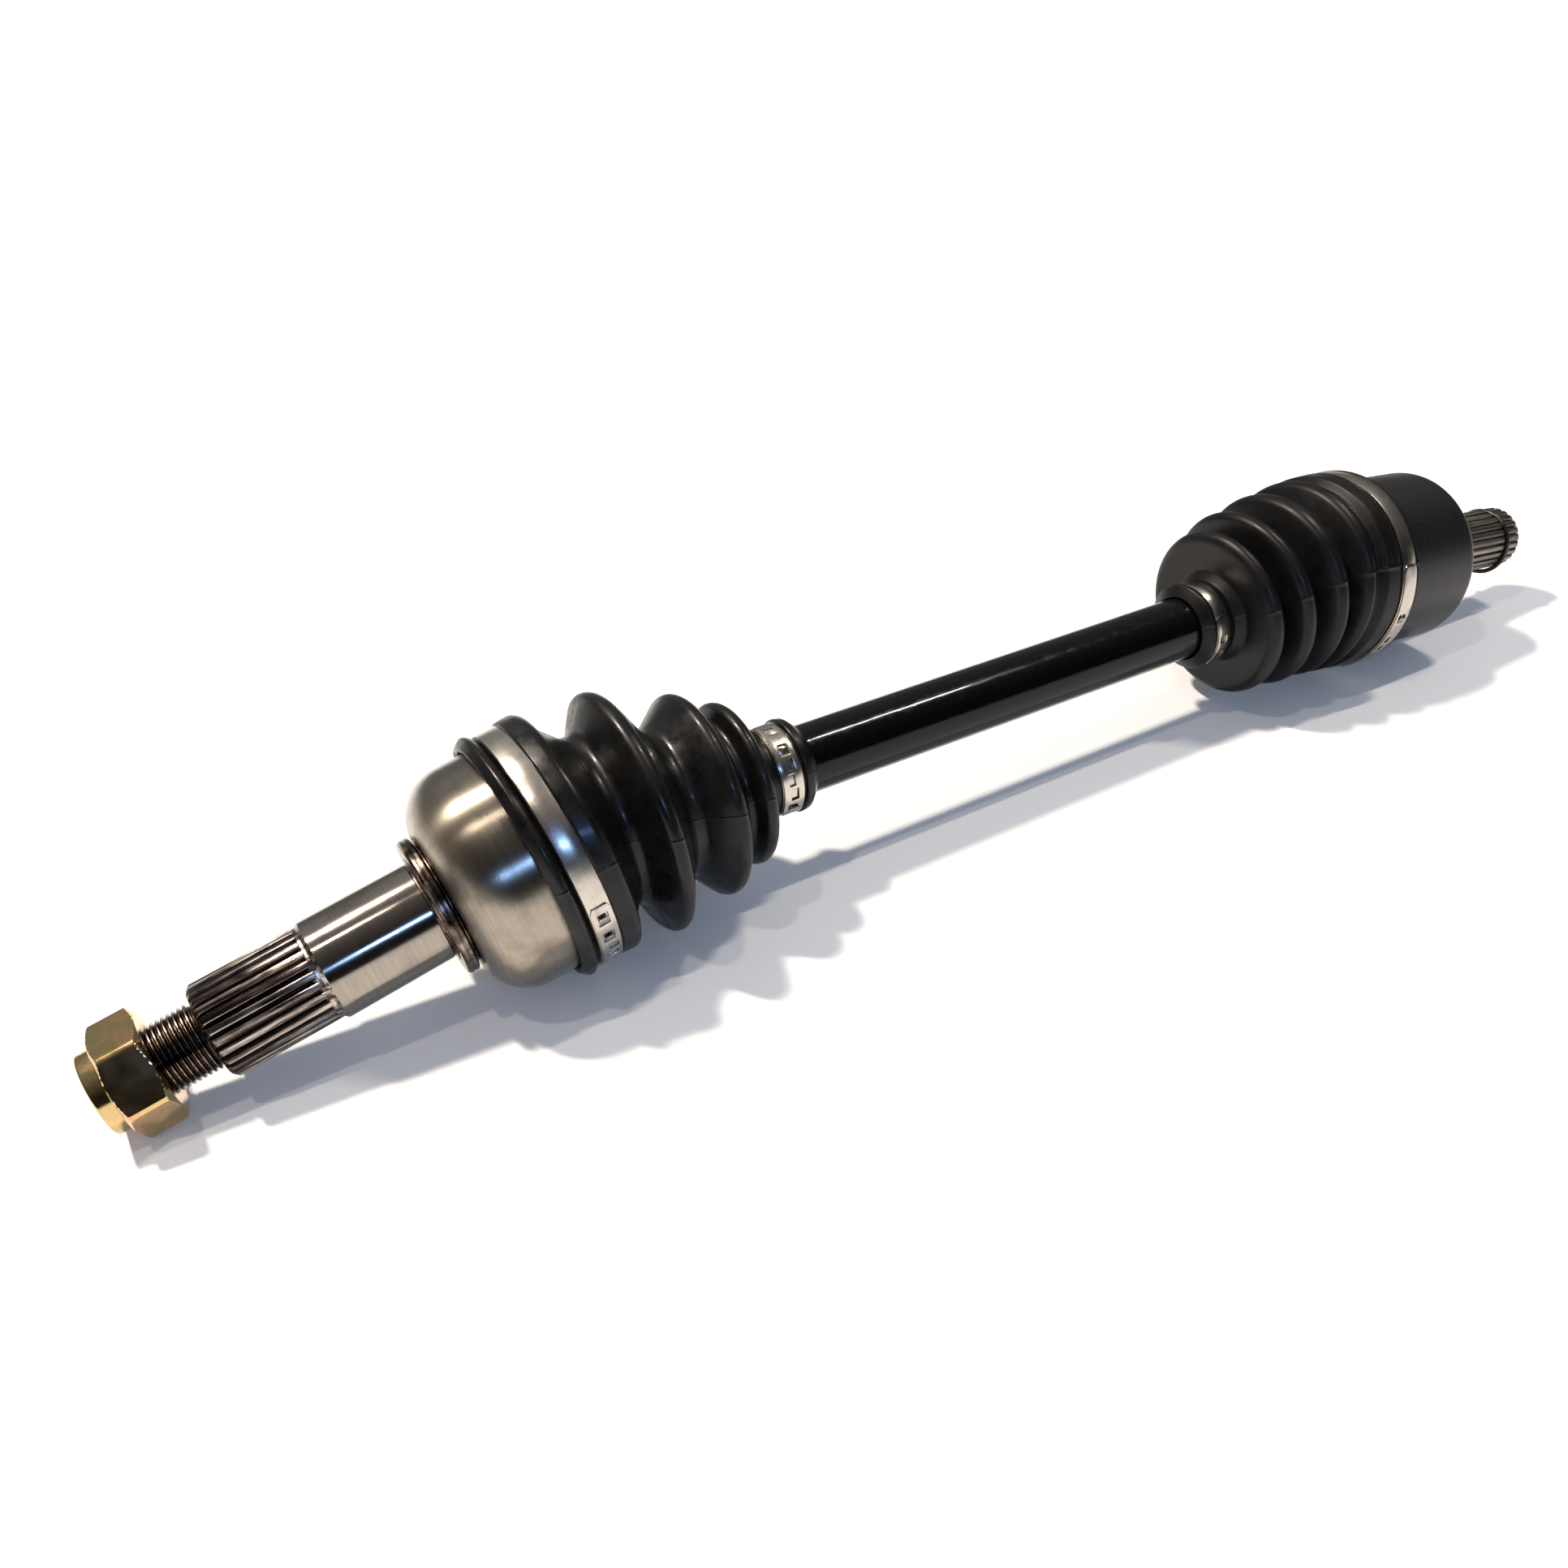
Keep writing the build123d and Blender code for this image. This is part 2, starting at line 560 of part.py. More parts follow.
with BuildPart() as inboard_cup:
    with BuildSketch(cup_side):
        with BuildLine():
            Polyline(
                (cup_inside_end, 0),
                (cup_inside_end, cup_bore),
                (-STOP_RING_PLACE + STOP_RING_WIRE, cup_bore),
                (-STOP_RING_PLACE + STOP_RING_WIRE, stop_ring_radius + STOP_RING_WIRE + RUNNING),
                (-STOP_RING_PLACE - STOP_RING_WIRE, stop_ring_radius + STOP_RING_WIRE + RUNNING),
                (-STOP_RING_PLACE - STOP_RING_WIRE, cup_bore),
                (-CUP_MOUTH + CUP_MOUTH_FLARE, cup_bore),
                (-CUP_MOUTH, cup_bore + CUP_MOUTH_FLARE),
                (-CUP_MOUTH, CUP_RADIUS - 1),
                (-CUP_MOUTH + 1, CUP_RADIUS),
                *cup_seat,
                (CUP_END - CUP_EDGE_RADIUS, CUP_RADIUS),
            )
            ThreePointArc(
                (CUP_END - CUP_EDGE_RADIUS, CUP_RADIUS),
                (CUP_END - edge_middle, CUP_RADIUS - edge_middle),
                (CUP_END, CUP_RADIUS - CUP_EDGE_RADIUS),
            )
            Polyline(
                (CUP_END, CUP_RADIUS - CUP_EDGE_RADIUS),
                (CUP_END, STUB_OUT_RADIUS + 1.5),
                (CUP_END + 1.5, STUB_OUT_RADIUS),
                (stub_clip_place - STUB_CLIP_WIRE, STUB_OUT_RADIUS),
                (stub_clip_place - STUB_CLIP_WIRE, stub_clip_floor),
                (stub_clip_place + STUB_CLIP_WIRE, stub_clip_floor),
                (stub_clip_place + STUB_CLIP_WIRE, STUB_OUT_RADIUS),
                (cup_stub_end - 1.5, STUB_OUT_RADIUS),
                (cup_stub_end, STUB_OUT_RADIUS - 1.5),
                (cup_stub_end, 0),
                (cup_inside_end, 0),
            )
        make_face()
    revolve(axis=cup_axis)
    with BuildSketch(cross_section(INBOARD_CENTRE, CUP_TILT, -CUP_MOUTH)):
        with PolarLocations(inboard_pitch, BALLS, start_angle=90):
            Circle(inboard_track)
    extrude(amount=CUP_MOUTH + cup_inside_end - 1, mode=Mode.SUBTRACT)
    cut_spline_gaps(
        cross_section(INBOARD_CENTRE, CUP_TILT, CUP_END + STUB_OUT_ROOT),
        STUB_OUT_RADIUS,
        STUB_OUT_DEPTH,
        STUB_OUT_TEETH,
        STUB_OUT_LENGTH,
    )
finish(inboard_cup.part, "inboard_cup")

stop_ring_centre = INBOARD_CENTRE - along(CUP_TILT) * STOP_RING_PLACE
stop_ring = wire_ring(stop_ring_centre, CUP_TILT, stop_ring_radius, STOP_RING_WIRE - RUNNING, 30)
finish(stop_ring, "inboard_stop_ring")

stub_clip_centre = INBOARD_CENTRE + along(CUP_TILT) * stub_clip_place - outward(CUP_TILT) * STUB_CLIP_DROP
stub_clip_radius = stub_clip_floor + STUB_CLIP_WIRE + STUB_CLIP_DROP
stub_clip = wire_ring(
    stub_clip_centre, CUP_TILT, stub_clip_radius, STUB_CLIP_WIRE - RUNNING, 40, opening_turn=100
)
finish(stub_clip, "inboard_stub_circlip")

# ---- Boots ---------------------------------------------------------------------------------
def widened(rings, by):
    return [(place, radius + by) for place, radius in rings]


def folds(crests, valleys, crest_width, base_radius):
    """Rings of a bellows, with three rings to round each crest and one at each valley."""
    rings = widened(valleys, base_radius)
    for place, radius in widened(crests, base_radius):
        rings.append((place - crest_width / 2, radius - 0.2 * crest_width))
        rings.append((place, radius))
        rings.append((place + crest_width / 2, radius - 0.2 * crest_width))
    return sorted(rings)


def outboard_bend(place):
    """Ring plane of the outboard boot: it leaves the bell square and meets the bar square."""
    neck_start = OUTBOARD_SMALL_BAND - NECK_MARGIN
    share = min(max((place - BELL_MOUTH) / (neck_start - BELL_MOUTH), 0), 1)
    return cross_section(OUTBOARD_CENTRE, STUB_TILT + (SHAFT_TILT - STUB_TILT) * share, place)


def inboard_bend(place):
    """Ring plane of the inboard boot: it leaves the bar square and meets the cup square."""
    neck_end = INBOARD_SMALL_BAND + SMALL_BAND_WIDTH + NECK_MARGIN
    share = min(max((place - neck_end) / (-CUP_MOUTH - neck_end), 0), 1)
    return cross_section(INBOARD_CENTRE, SHAFT_TILT + (CUP_TILT - SHAFT_TILT) * share, place)


# Outboard boot: lip, band seat, bead, three folds, neck and end lip.
lip_start = OUTBOARD_LARGE_BAND - OUTBOARD_LIP_WIDTH
band_end = OUTBOARD_LARGE_BAND + LARGE_BAND_WIDTH
neck_end = OUTBOARD_SMALL_BAND + SMALL_BAND_WIDTH
outboard_folds = folds(OUTBOARD_CRESTS, OUTBOARD_VALLEYS, OUTBOARD_CREST_WIDTH, BELL_RADIUS)
bead_radius = outboard_large_seat + OUTBOARD_BEAD_RISE
outboard_outside = [
    (lip_start, outboard_large_seat - 1),
    (lip_start + 1, outboard_large_seat + OUTBOARD_LIP_RISE - 0.4),
    (lip_start + 2.8, outboard_large_seat + OUTBOARD_LIP_RISE),
    (OUTBOARD_LARGE_BAND - 0.4, outboard_large_seat),
    (band_end + 0.4, outboard_large_seat),
    (band_end + 2.2, bead_radius),
    (band_end + 5.8, bead_radius - 0.4),
    (band_end + 9.8, bead_radius - 4),
    *outboard_folds,
    (OUTBOARD_SMALL_BAND - 1.2, outboard_small_seat + 0.8),
    (OUTBOARD_SMALL_BAND - 0.4, outboard_small_seat),
    (neck_end + 0.4, outboard_small_seat),
    (neck_end + 1.8, outboard_small_seat + 1.5),
    (neck_end + 4.2, outboard_small_seat + 1.3),
    (neck_end + OUTBOARD_END_LIP, outboard_small_seat - 1.6),
]
outboard_inside = [
    (lip_start, BELL_RADIUS + RUNNING),
    *widened(bell_seat, RUNNING),
    (BELL_MOUTH + 1, BELL_RADIUS + RUNNING),
    *widened(outboard_folds, -BOOT_WALL),
    (OUTBOARD_SMALL_BAND - 1.2, BAR_RADIUS + 1.2),
    *widened(outboard_neck, RUNNING),
    (neck_end + OUTBOARD_END_LIP, BAR_RADIUS + RUNNING),
]
outboard_boot = bellows(outboard_outside, outboard_inside, outboard_bend)
finish(outboard_boot, "outboard_boot")

# Inboard boot: end lip, neck, four folds, ridge, band seat and lip.
neck_start = INBOARD_SMALL_BAND - INBOARD_END_LIP
lip_end = INBOARD_LARGE_BAND + LARGE_BAND_WIDTH + INBOARD_LIP_WIDTH
inboard_folds = folds(INBOARD_CRESTS, INBOARD_VALLEYS, INBOARD_CREST_WIDTH, CUP_RADIUS)
ridge_radius = inboard_large_seat + INBOARD_RIDGE_RISE
inboard_outside = [
    (neck_start, inboard_small_seat - 2.0),
    (neck_start + 2.0, inboard_small_seat + 1.1),
    (neck_start + 4.8, inboard_small_seat + 1.3),
    (INBOARD_SMALL_BAND - 0.4, inboard_small_seat),
    (INBOARD_SMALL_BAND + SMALL_BAND_WIDTH + 0.4, inboard_small_seat),
    (INBOARD_SMALL_BAND + SMALL_BAND_WIDTH + 1.6, inboard_small_seat + 3.0),
    *inboard_folds,
    (INBOARD_LARGE_BAND - 8.0, ridge_radius - 0.6),
    (INBOARD_LARGE_BAND - 4.0, ridge_radius),
    (INBOARD_LARGE_BAND - 0.4, inboard_large_seat),
    (INBOARD_LARGE_BAND + LARGE_BAND_WIDTH + 0.4, inboard_large_seat),
    (INBOARD_LARGE_BAND + LARGE_BAND_WIDTH + 1.0, ridge_radius),
    (lip_end, ridge_radius - 0.5),
]
inboard_inside = [
    (neck_start, BAR_RADIUS + RUNNING),
    *widened(inboard_neck, RUNNING),
    (INBOARD_SMALL_BAND + SMALL_BAND_WIDTH + 0.6, BAR_RADIUS + RUNNING),
    *widened(inboard_folds, -BOOT_WALL),
    (-CUP_MOUTH - 0.5, CUP_RADIUS + RUNNING),
    *widened(cup_seat, RUNNING),
    (lip_end, CUP_RADIUS + RUNNING),
]
inboard_boot = bellows(inboard_outside, inboard_inside, inboard_bend)
finish(inboard_boot, "inboard_boot")

# ---- Clamps --------------------------------------------------------------------------------
outboard_large_clamp = band_clamp(
    OUTBOARD_CENTRE, STUB_TILT, OUTBOARD_LARGE_BAND, LARGE_BAND_WIDTH, outboard_large_seat, -90, 75
)
finish(outboard_large_clamp, "outboard_large_clamp")

outboard_small_clamp = band_clamp(
    OUTBOARD_CENTRE, SHAFT_TILT, OUTBOARD_SMALL_BAND, SMALL_BAND_WIDTH, outboard_small_seat, -10, 130
)
finish(outboard_small_clamp, "outboard_small_clamp")

inboard_small_clamp = band_clamp(
    INBOARD_CENTRE, SHAFT_TILT, INBOARD_SMALL_BAND, SMALL_BAND_WIDTH, inboard_small_seat, -90, 110
)
finish(inboard_small_clamp, "inboard_small_clamp")

inboard_large_clamp = band_clamp(
    INBOARD_CENTRE, CUP_TILT, INBOARD_LARGE_BAND, LARGE_BAND_WIDTH, inboard_large_seat, -95, 75
)
finish(inboard_large_clamp, "inboard_large_clamp")
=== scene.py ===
import json
import math
from functools import partial
import bmesh
import bpy
from mathutils import Matrix, Vector


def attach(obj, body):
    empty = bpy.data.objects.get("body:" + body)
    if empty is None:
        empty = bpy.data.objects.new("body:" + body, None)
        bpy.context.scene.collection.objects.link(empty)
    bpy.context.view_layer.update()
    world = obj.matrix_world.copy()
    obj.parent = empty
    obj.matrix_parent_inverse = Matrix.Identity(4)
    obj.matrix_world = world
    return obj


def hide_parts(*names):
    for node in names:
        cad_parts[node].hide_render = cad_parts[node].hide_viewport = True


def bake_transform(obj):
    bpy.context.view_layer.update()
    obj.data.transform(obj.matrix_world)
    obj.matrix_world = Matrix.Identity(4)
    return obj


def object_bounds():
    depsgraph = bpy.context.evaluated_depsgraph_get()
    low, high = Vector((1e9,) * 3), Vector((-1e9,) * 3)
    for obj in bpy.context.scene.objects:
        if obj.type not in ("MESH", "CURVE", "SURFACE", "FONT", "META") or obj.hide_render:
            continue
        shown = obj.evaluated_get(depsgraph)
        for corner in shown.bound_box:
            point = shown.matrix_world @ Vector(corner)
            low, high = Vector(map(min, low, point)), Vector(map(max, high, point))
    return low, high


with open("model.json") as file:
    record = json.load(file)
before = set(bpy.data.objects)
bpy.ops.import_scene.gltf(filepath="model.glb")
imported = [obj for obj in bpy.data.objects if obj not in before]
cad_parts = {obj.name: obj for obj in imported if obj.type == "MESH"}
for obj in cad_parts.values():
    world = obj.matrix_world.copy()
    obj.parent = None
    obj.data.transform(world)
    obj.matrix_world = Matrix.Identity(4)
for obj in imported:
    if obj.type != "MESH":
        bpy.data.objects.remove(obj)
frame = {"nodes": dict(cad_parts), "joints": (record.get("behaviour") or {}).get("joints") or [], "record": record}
cadBox = [list(corner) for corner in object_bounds()]
mm = 0.001
joints = {joint["name"]: joint for joint in frame["joints"]}
mounts = {mount["name"]: mount for mount in frame["record"]["mounts"]}


# each axis has a centre in millimetres and a direction; places are measured along it from the centre
def axisThrough(centre, direction):
    along = Vector(direction).normalized()
    side = Vector((0, 1, 0))
    return {"centre": Vector(centre), "along": along, "side": side, "up": along.cross(side)}


outboardCentre = Vector(joints["outboard_drop_inner"]["pos_m"]) / mm
inboardCentre = Vector(joints["inboard_drop_inner"]["pos_m"]) / mm
stubAxis = axisThrough(outboardCentre, -Vector(mounts["hub_journal"]["axis"]))
barAxis = axisThrough(outboardCentre, inboardCentre - outboardCentre)
neckAxis = axisThrough(inboardCentre, inboardCentre - outboardCentre)
cupAxis = axisThrough(inboardCentre, joints["inboard_plunge"]["axis"])


def slopeOf(axis):
    return math.atan2(axis["along"].z, axis["along"].x)


def mixedAxis(first, second, share):  # between two axes that meet in one centre
    slope = slopeOf(first) + (slopeOf(second) - slopeOf(first)) * share
    return axisThrough(first["centre"], (math.cos(slope), 0, math.sin(slope)))


def pointOn(axis, place, radius=0.0, turn=0.0):  # turn is 0 on top and grows towards +Y
    out = axis["up"] * math.cos(turn) + axis["side"] * math.sin(turn)
    return (axis["centre"] + axis["along"] * place + out * radius) * mm


def placeOf(axis, point):
    return (Vector(point) / mm - axis["centre"]).dot(axis["along"])


def reachOf(node, axis):  # first place, last place and largest radius of a carried node
    corners = [v.co / mm - axis["centre"] for v in frame["nodes"][node].data.vertices]
    places = [corner.dot(axis["along"]) for corner in corners]
    radii = [(corner - axis["along"] * place).length for corner, place in zip(corners, places)]
    return min(places), max(places), max(radii)


def localMatrix(axis):  # puts a piece made about the X axis, in millimetres, onto an axis
    turn = Matrix((axis["along"], axis["side"], axis["up"])).transposed().to_4x4()
    return Matrix.Translation(axis["centre"] * mm) @ turn @ Matrix.Scale(mm, 4)


def linear(hexColour):
    parts = [int(hexColour[i:i + 2], 16) / 255 for i in (1, 3, 5)]
    return [p / 12.92 if p <= 0.04045 else ((p + 0.055) / 1.055) ** 2.4 for p in parts] + [1.0]


def addNode(tree, kind, settings=None, links=None):
    # a shader node goes without that word in its kind, and a link is a node's first output or a socket
    node = tree.nodes.new(kind if "Node" in kind else "ShaderNode" + kind)
    for name, value in (settings or {}).items():
        if isinstance(value, str) and value.startswith("#"):
            value = linear(value)
        if name == "stops":
            while len(node.color_ramp.elements) < len(value):
                node.color_ramp.elements.new(0.5)
            for element, (place, colour) in zip(node.color_ramp.elements, value):
                element.position, element.color = place, linear(colour)
        elif isinstance(name, str) and hasattr(node, name):
            setattr(node, name, value)
        else:
            node.inputs[name].default_value = value
    for name, source in (links or {}).items():
        tree.links.new(getattr(source, "outputs", [source])[0], node.inputs[name])
    return node


def newMaterial(name):  # a material with an empty tree, and addNode for that tree
    material = bpy.data.materials.new(name)
    material.use_nodes = True
    material.node_tree.nodes.clear()
    return material, partial(addNode, material.node_tree)


# noise is (repeats in a millimetre, detail, roughness): patches lie evenly and grain may be stretched.
# roughness goes between two values over the patches, and bump is (strength, depth)
commonFinish = {"shader": {"Metallic": 1.0}, "stretch": (1, 1, 1), "roughOver": (0.3, 0.7)}
splinedSteel = {
    "stretch": (0.07, 1, 1), "grain": (0.7, 5.0, 0.65), "patches": (0.16, 4.0, 0.5), "rubbed": (0.38, 0.64, 0.22),
    "bump": (0.15, 0.04),
}
finishes = {
    # ground: near mirror, fine marks round it, a thin oil film.
    # tool marks are 0.1 mm apart on the real piece and drawn about 0.5 mm apart so that they show
    "alloySteelGround": {
        "tones": ("#8a8379", "#a8a096", "#6e645a"), "stained": (0.50, 0.78, 0.55), "stretch": (2.2, 0.05, 0.05),
        "grain": (1.0, 2.0, 0.5), "patches": (1 / 9, 5.0, 0.6), "rough": (0.11, 0.20), "bump": (0.12, 0.02),
        "shader": {"Metallic": 1.0, "Anisotropic": 0.72},
    },
    # turned and polished satin: broad streaks across the tool marks, brown oil in the neck
    "alloySteelTurned": {
        "tones": ("#8d8579", "#aca395", "#6b6157"), "stained": (0.46, 0.70, 0.55), "stretch": (1.8, 0.06, 0.06),
        "grain": (1.0, 2.0, 0.5), "patches": (1 / 12, 5.0, 0.6), "rough": (0.24, 0.34), "bump": (0.16, 0.02),
        "shader": {"Metallic": 1.0, "Anisotropic": 0.86}, "rim": (25.5, 20.0, 0.75, "#3d332c"),
    },
    # stainless strip, cold rolled: bright, with fine lines along it and brown oil marks
    "stainlessStrip": {
        "tones": ("#b3aba1", "#d6cfc5", "#6a5f55"), "stained": (0.54, 0.72, 0.35), "stretch": (3.0, 0.06, 0.06),
        "grain": (1.0, 2.0, 0.5), "patches": (0.16, 2.0, 0.5), "rough": (0.20, 0.30), "bump": (0.12, 0.02),
    },
    # alloy steel with rolled splines or threads: painted crest highlight and painted shade between the ridges, lighter
    # by radius from root to tip, with the tips also rubbed bright in streaks
    "alloySteelThreaded": {
        **splinedSteel, "height": (9.1, 10.0), "tones": ("#3a302a", "#6f6055", "#a4968a"), "rough": (0.14, 0.36),
    },
    "alloySteelSplined": {
        **splinedSteel, "height": (12.5, 14.1), "tones": ("#2a2320", "#5a504a", "#bfb4aa"), "rough": (0.18, 0.42),
    },
    "stubSteelSplined": {
        **splinedSteel, "height": (10.6, 12.0), "tones": ("#625c54", "#767068", "#8f8981"), "rough": (0.32, 0.50),
    },
    # alloy steel, rough turned and left oily: brown black in its grooves, bright on its edges
    "alloySteelOiled": {
        "stops": [(0.34, "#251d19"), (0.52, "#63564c"), (0.68, "#a4988c")], "patches": (1 / 5, 6.0, 0.62),
        "rough": (0.14, 0.36), "bump": (0.15, 0.08),
    },
    # hex bar steel, yellow chromate over zinc: gold, with faint green and pink interference
    "hexSteelYellowZinc": {
        "stops": [(0.28, "#d3ad78"), (0.44, "#bfae78"), (0.56, "#dcb184"), (0.72, "#b8945f")],
        "patches": (1 / 7, 6.0, 0.62), "rough": (0.09, 0.18), "bump": (0.08, 0.05),
    },
    # bearing steel, ground and hardened: bright and even
    "bearingSteelGround": {
        "stops": [(0.3, "#8e8d8a"), (0.7, "#a9a7a3")], "patches": (1 / 1.2, 6.0, 0.62), "rough": (0.12, 0.22),
        "bump": (0.05, 0.02),
    },
    # spring wire, drawn and oiled: dark with a dull shine
    "springWireDrawn": {
        "stops": [(0.3, "#2d2a28"), (0.7, "#55504b")], "patches": (1 / 1.2, 6.0, 0.62), "rough": (0.28, 0.42),
        "bump": (0.1, 0.03),
    },
    # steel bar in black enamel: wet gloss that breaks up over its slight waves, with grey dust
    "steelBlackEnamel": {
        "tones": ("#060607", "#1b1b1d"), "stained": (0.62, 0.82, 1.0), "stretch": (0.5, 1, 1),
        "grain": (1 / 4, 4.0, 0.6), "patches": (1 / 3, 7.0, 0.7),
        "roughOver": (0.45, 0.75), "rough": (0.12, 0.34), "bump": (0.50, 0.16),
        "shader": {"Coat Weight": 0.24, "Coat Roughness": 0.035, "Specular IOR Level": 0.12},
    },
    # turned steel under satin black paint: smooth, faintly speckled
    "steelSatinBlackPaint": {
        "tones": ("#0b0b0c", "#1a1a1c"), "stained": (0.3, 0.7, 1.0), "grain": (1, 4.0, 0.6),
        "patches": (1, 7.0, 0.7), "rough": (0.30, 0.46), "bump": (0.10, 0.04),
        "shader": {"Specular IOR Level": 0.4},
    },
    # chloroprene rubber, moulded, under a film of grease: wet black
    "chloropreneGreased": {
        "tones": ("#060606", "#100f0e"), "stained": (0.3, 0.7, 1.0), "grain": (1 / 3, 4.0, 0.6),
        "patches": (1 / 9, 7.0, 0.7), "roughOver": (0.38, 0.62), "rough": (0.24, 0.46), "bump": (0.20, 0.12),
        "shader": {"Coat Weight": 0.10, "Coat Roughness": 0.10, "Specular IOR Level": 0.26},
    },
    # chloroprene rubber, moulded and dry: satin black
    "chloropreneDry": {
        "tones": ("#060606", "#0f0e0e"), "stained": (0.3, 0.7, 1.0), "grain": (1 / 3, 4.0, 0.6),
        "patches": (1 / 9, 7.0, 0.7), "roughOver": (0.35, 0.65), "rough": (0.34, 0.46), "bump": (0.16, 0.10),
        "shader": {"Specular IOR Level": 0.26},
    },
}


def makeMaterial(kind, axis, suffix=""):  # its pattern is in millimetres, with X along the axis
    finish = {**commonFinish, **finishes[kind]}
    material, add = newMaterial(kind + suffix)
    place = add("TexCoord")
    turn = {"vector_type": "TEXTURE", "Location": axis["centre"] * mm, "Rotation": (0, -slopeOf(axis), 0),
            "Scale": (mm, mm, mm)}
    spot = add("Mapping", turn, {"Vector": place.outputs["Object"]})
    noise = {name: dict(zip(("Scale", "Detail", "Roughness"), finish.get(name, ()))) for name in ("grain", "patches")}
    patches = add("TexNoise", noise["patches"], {"Vector": spot})
    grain = patches
    if "grain" in finish:
        stretched = add("VectorMath", {"operation": "MULTIPLY", 1: finish["stretch"]}, {0: spot})
        grain = add("TexNoise", noise["grain"], {"Vector": stretched})
    if "height" in finish or "rim" in finish:
        flat = add("VectorMath", {"operation": "MULTIPLY", 1: (0, 1, 1)}, {0: spot})
        radius = add("VectorMath", {"operation": "LENGTH"}, {0: flat}).outputs["Value"]
    if "height" in finish:
        root, tip = finish["height"]
        low, high, least = finish["rubbed"]
        # painted crest highlight and painted shade at the roots: the tone rises with radius from root to tip and is
        # broken up by the rubbed streaks
        height = add("MapRange", {"From Min": root, "From Max": tip}, {"Value": radius})
        rubbed = add("MapRange", {"From Min": low, "From Max": high, "To Min": least}, {"Value": grain})
        crestLitAndWorn = add("Math", {"operation": "MULTIPLY"}, {0: height, 1: rubbed})
        stops = list(zip((0.10, 0.45, 0.85), finish["tones"]))
        tone = add("ValToRGB", {"stops": stops}, {"Fac": crestLitAndWorn})
    elif "stops" in finish:
        tone = add("ValToRGB", {"stops": finish["stops"]}, {"Fac": patches})
    else:
        *bare, last = finish["tones"]
        low, high, most = finish["stained"]
        share = add("MapRange", {"From Min": low, "From Max": high, "To Max": most}, {"Value": patches})
        links = {0: share}
        if len(bare) == 2:  # two tones of bare metal along the grain, under the stain
            links[6] = add("Mix", {"data_type": "RGBA", 6: bare[0], 7: bare[1]}, {0: grain}).outputs[2]
        tone = add("Mix", {"data_type": "RGBA", 6: bare[0], 7: last}, links).outputs[2]
    if "rim" in finish:
        clean, dark, most, oil = finish["rim"]
        near = add("MapRange", {"From Min": clean, "From Max": dark, "To Max": most}, {"Value": radius})
        tone = add("Mix", {"data_type": "RGBA", 7: oil}, {0: near, 6: tone}).outputs[2]
    (low, high), (smooth, dull) = finish["roughOver"], finish["rough"]
    span = {"From Min": low, "From Max": high, "To Min": smooth, "To Max": dull}
    rough = add("MapRange", span, {"Value": patches})
    strength, depth = finish["bump"]
    bump = add("Bump", {"Strength": strength, "Distance": depth * mm}, {"Height": grain})
    links = {"Base Color": tone, "Roughness": rough, "Normal": bump}
    if "Anisotropic" in finish["shader"]:
        links["Tangent"] = add("Tangent", {"direction_type": "UV_MAP", "uv_map": "turned"})
    skin = add("BsdfPrincipled", finish["shader"], links)
    add("OutputMaterial", None, {"Surface": skin})
    return material


groundSteel = makeMaterial("alloySteelGround", stubAxis)
turnedSteel = makeMaterial("alloySteelTurned", stubAxis)
shoulderSteel = makeMaterial("alloySteelOiled", stubAxis)
threadSteel = makeMaterial("alloySteelThreaded", stubAxis)
zincNutSteel = makeMaterial("hexSteelYellowZinc", stubAxis)
bearingSteel = makeMaterial("bearingSteelGround", barAxis)
springWire = makeMaterial("springWireDrawn", barAxis)
stubSplineSteel = makeMaterial("alloySteelSplined", stubAxis)
cupSplineSteel = makeMaterial("stubSteelSplined", cupAxis)
barEnamel = makeMaterial("steelBlackEnamel", barAxis)
cupPaint = makeMaterial("steelSatinBlackPaint", cupAxis)
greasedRubber = makeMaterial("chloropreneGreased", stubAxis)
dryRubber = makeMaterial("chloropreneDry", cupAxis)
print("materials:", len(bpy.data.materials))


def newObject(name, data):
    made = bpy.data.objects.new(name, data)
    bpy.context.collection.objects.link(made)
    return made


def newMesh(name, points, faces, *materials):
    mesh = bpy.data.meshes.new(name)
    mesh.from_pydata(points, [], faces)
    for material in materials:
        mesh.materials.append(material)
    return mesh


def closedGrid(rows, count):  # the faces of rows of points, joined up both ways
    return [(row * count + k, row * count + (k + 1) % count, (row + 1) % rows * count + (k + 1) % count,
             (row + 1) % rows * count + k) for row in range(rows) for k in range(count)]


def turnFacesOut(mesh, mergeWithin=None):
    work = bmesh.new()
    work.from_mesh(mesh)
    if mergeWithin:
        bmesh.ops.remove_doubles(work, verts=work.verts, dist=mergeWithin)
    bmesh.ops.recalc_face_normals(work, faces=work.faces)
    work.to_mesh(mesh)
    work.free()


def finishMesh(name, mesh, body, node, slot, sharp):  # edges sharper than this many degrees stay crisp
    turnFacesOut(mesh, 0.002 * mm)
    mesh.shade_smooth()
    mesh.set_sharp_from_angle(angle=math.radians(sharp))
    piece = newObject(name, mesh)
    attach(piece, body)
    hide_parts(node)
    return piece


def rounded(points, steps=5):  # a profile of (place, radius, rounding) with its corners rounded
    path = []
    for index, (place, radius, rounding) in enumerate(points):
        corner = Vector((place, radius))
        if rounding <= 0 or index in (0, len(points) - 1):
            path.append(tuple(corner))
            continue
        before = Vector(points[index - 1][:2]) - corner
        after = Vector(points[index + 1][:2]) - corner
        reach = min(rounding / math.tan(before.angle(after) / 2), 0.48 * before.length, 0.48 * after.length)
        start, end = corner + before.normalized() * reach, corner + after.normalized() * reach
        for k in range(steps + 1):
            t = k / steps
            path.append(tuple(start * (1 - t) ** 2 + corner * 2 * t * (1 - t) + end * t ** 2))
    return path


def shifted(origin, *points):
    return [(origin + place, radius, rounding) for place, radius, rounding in points]


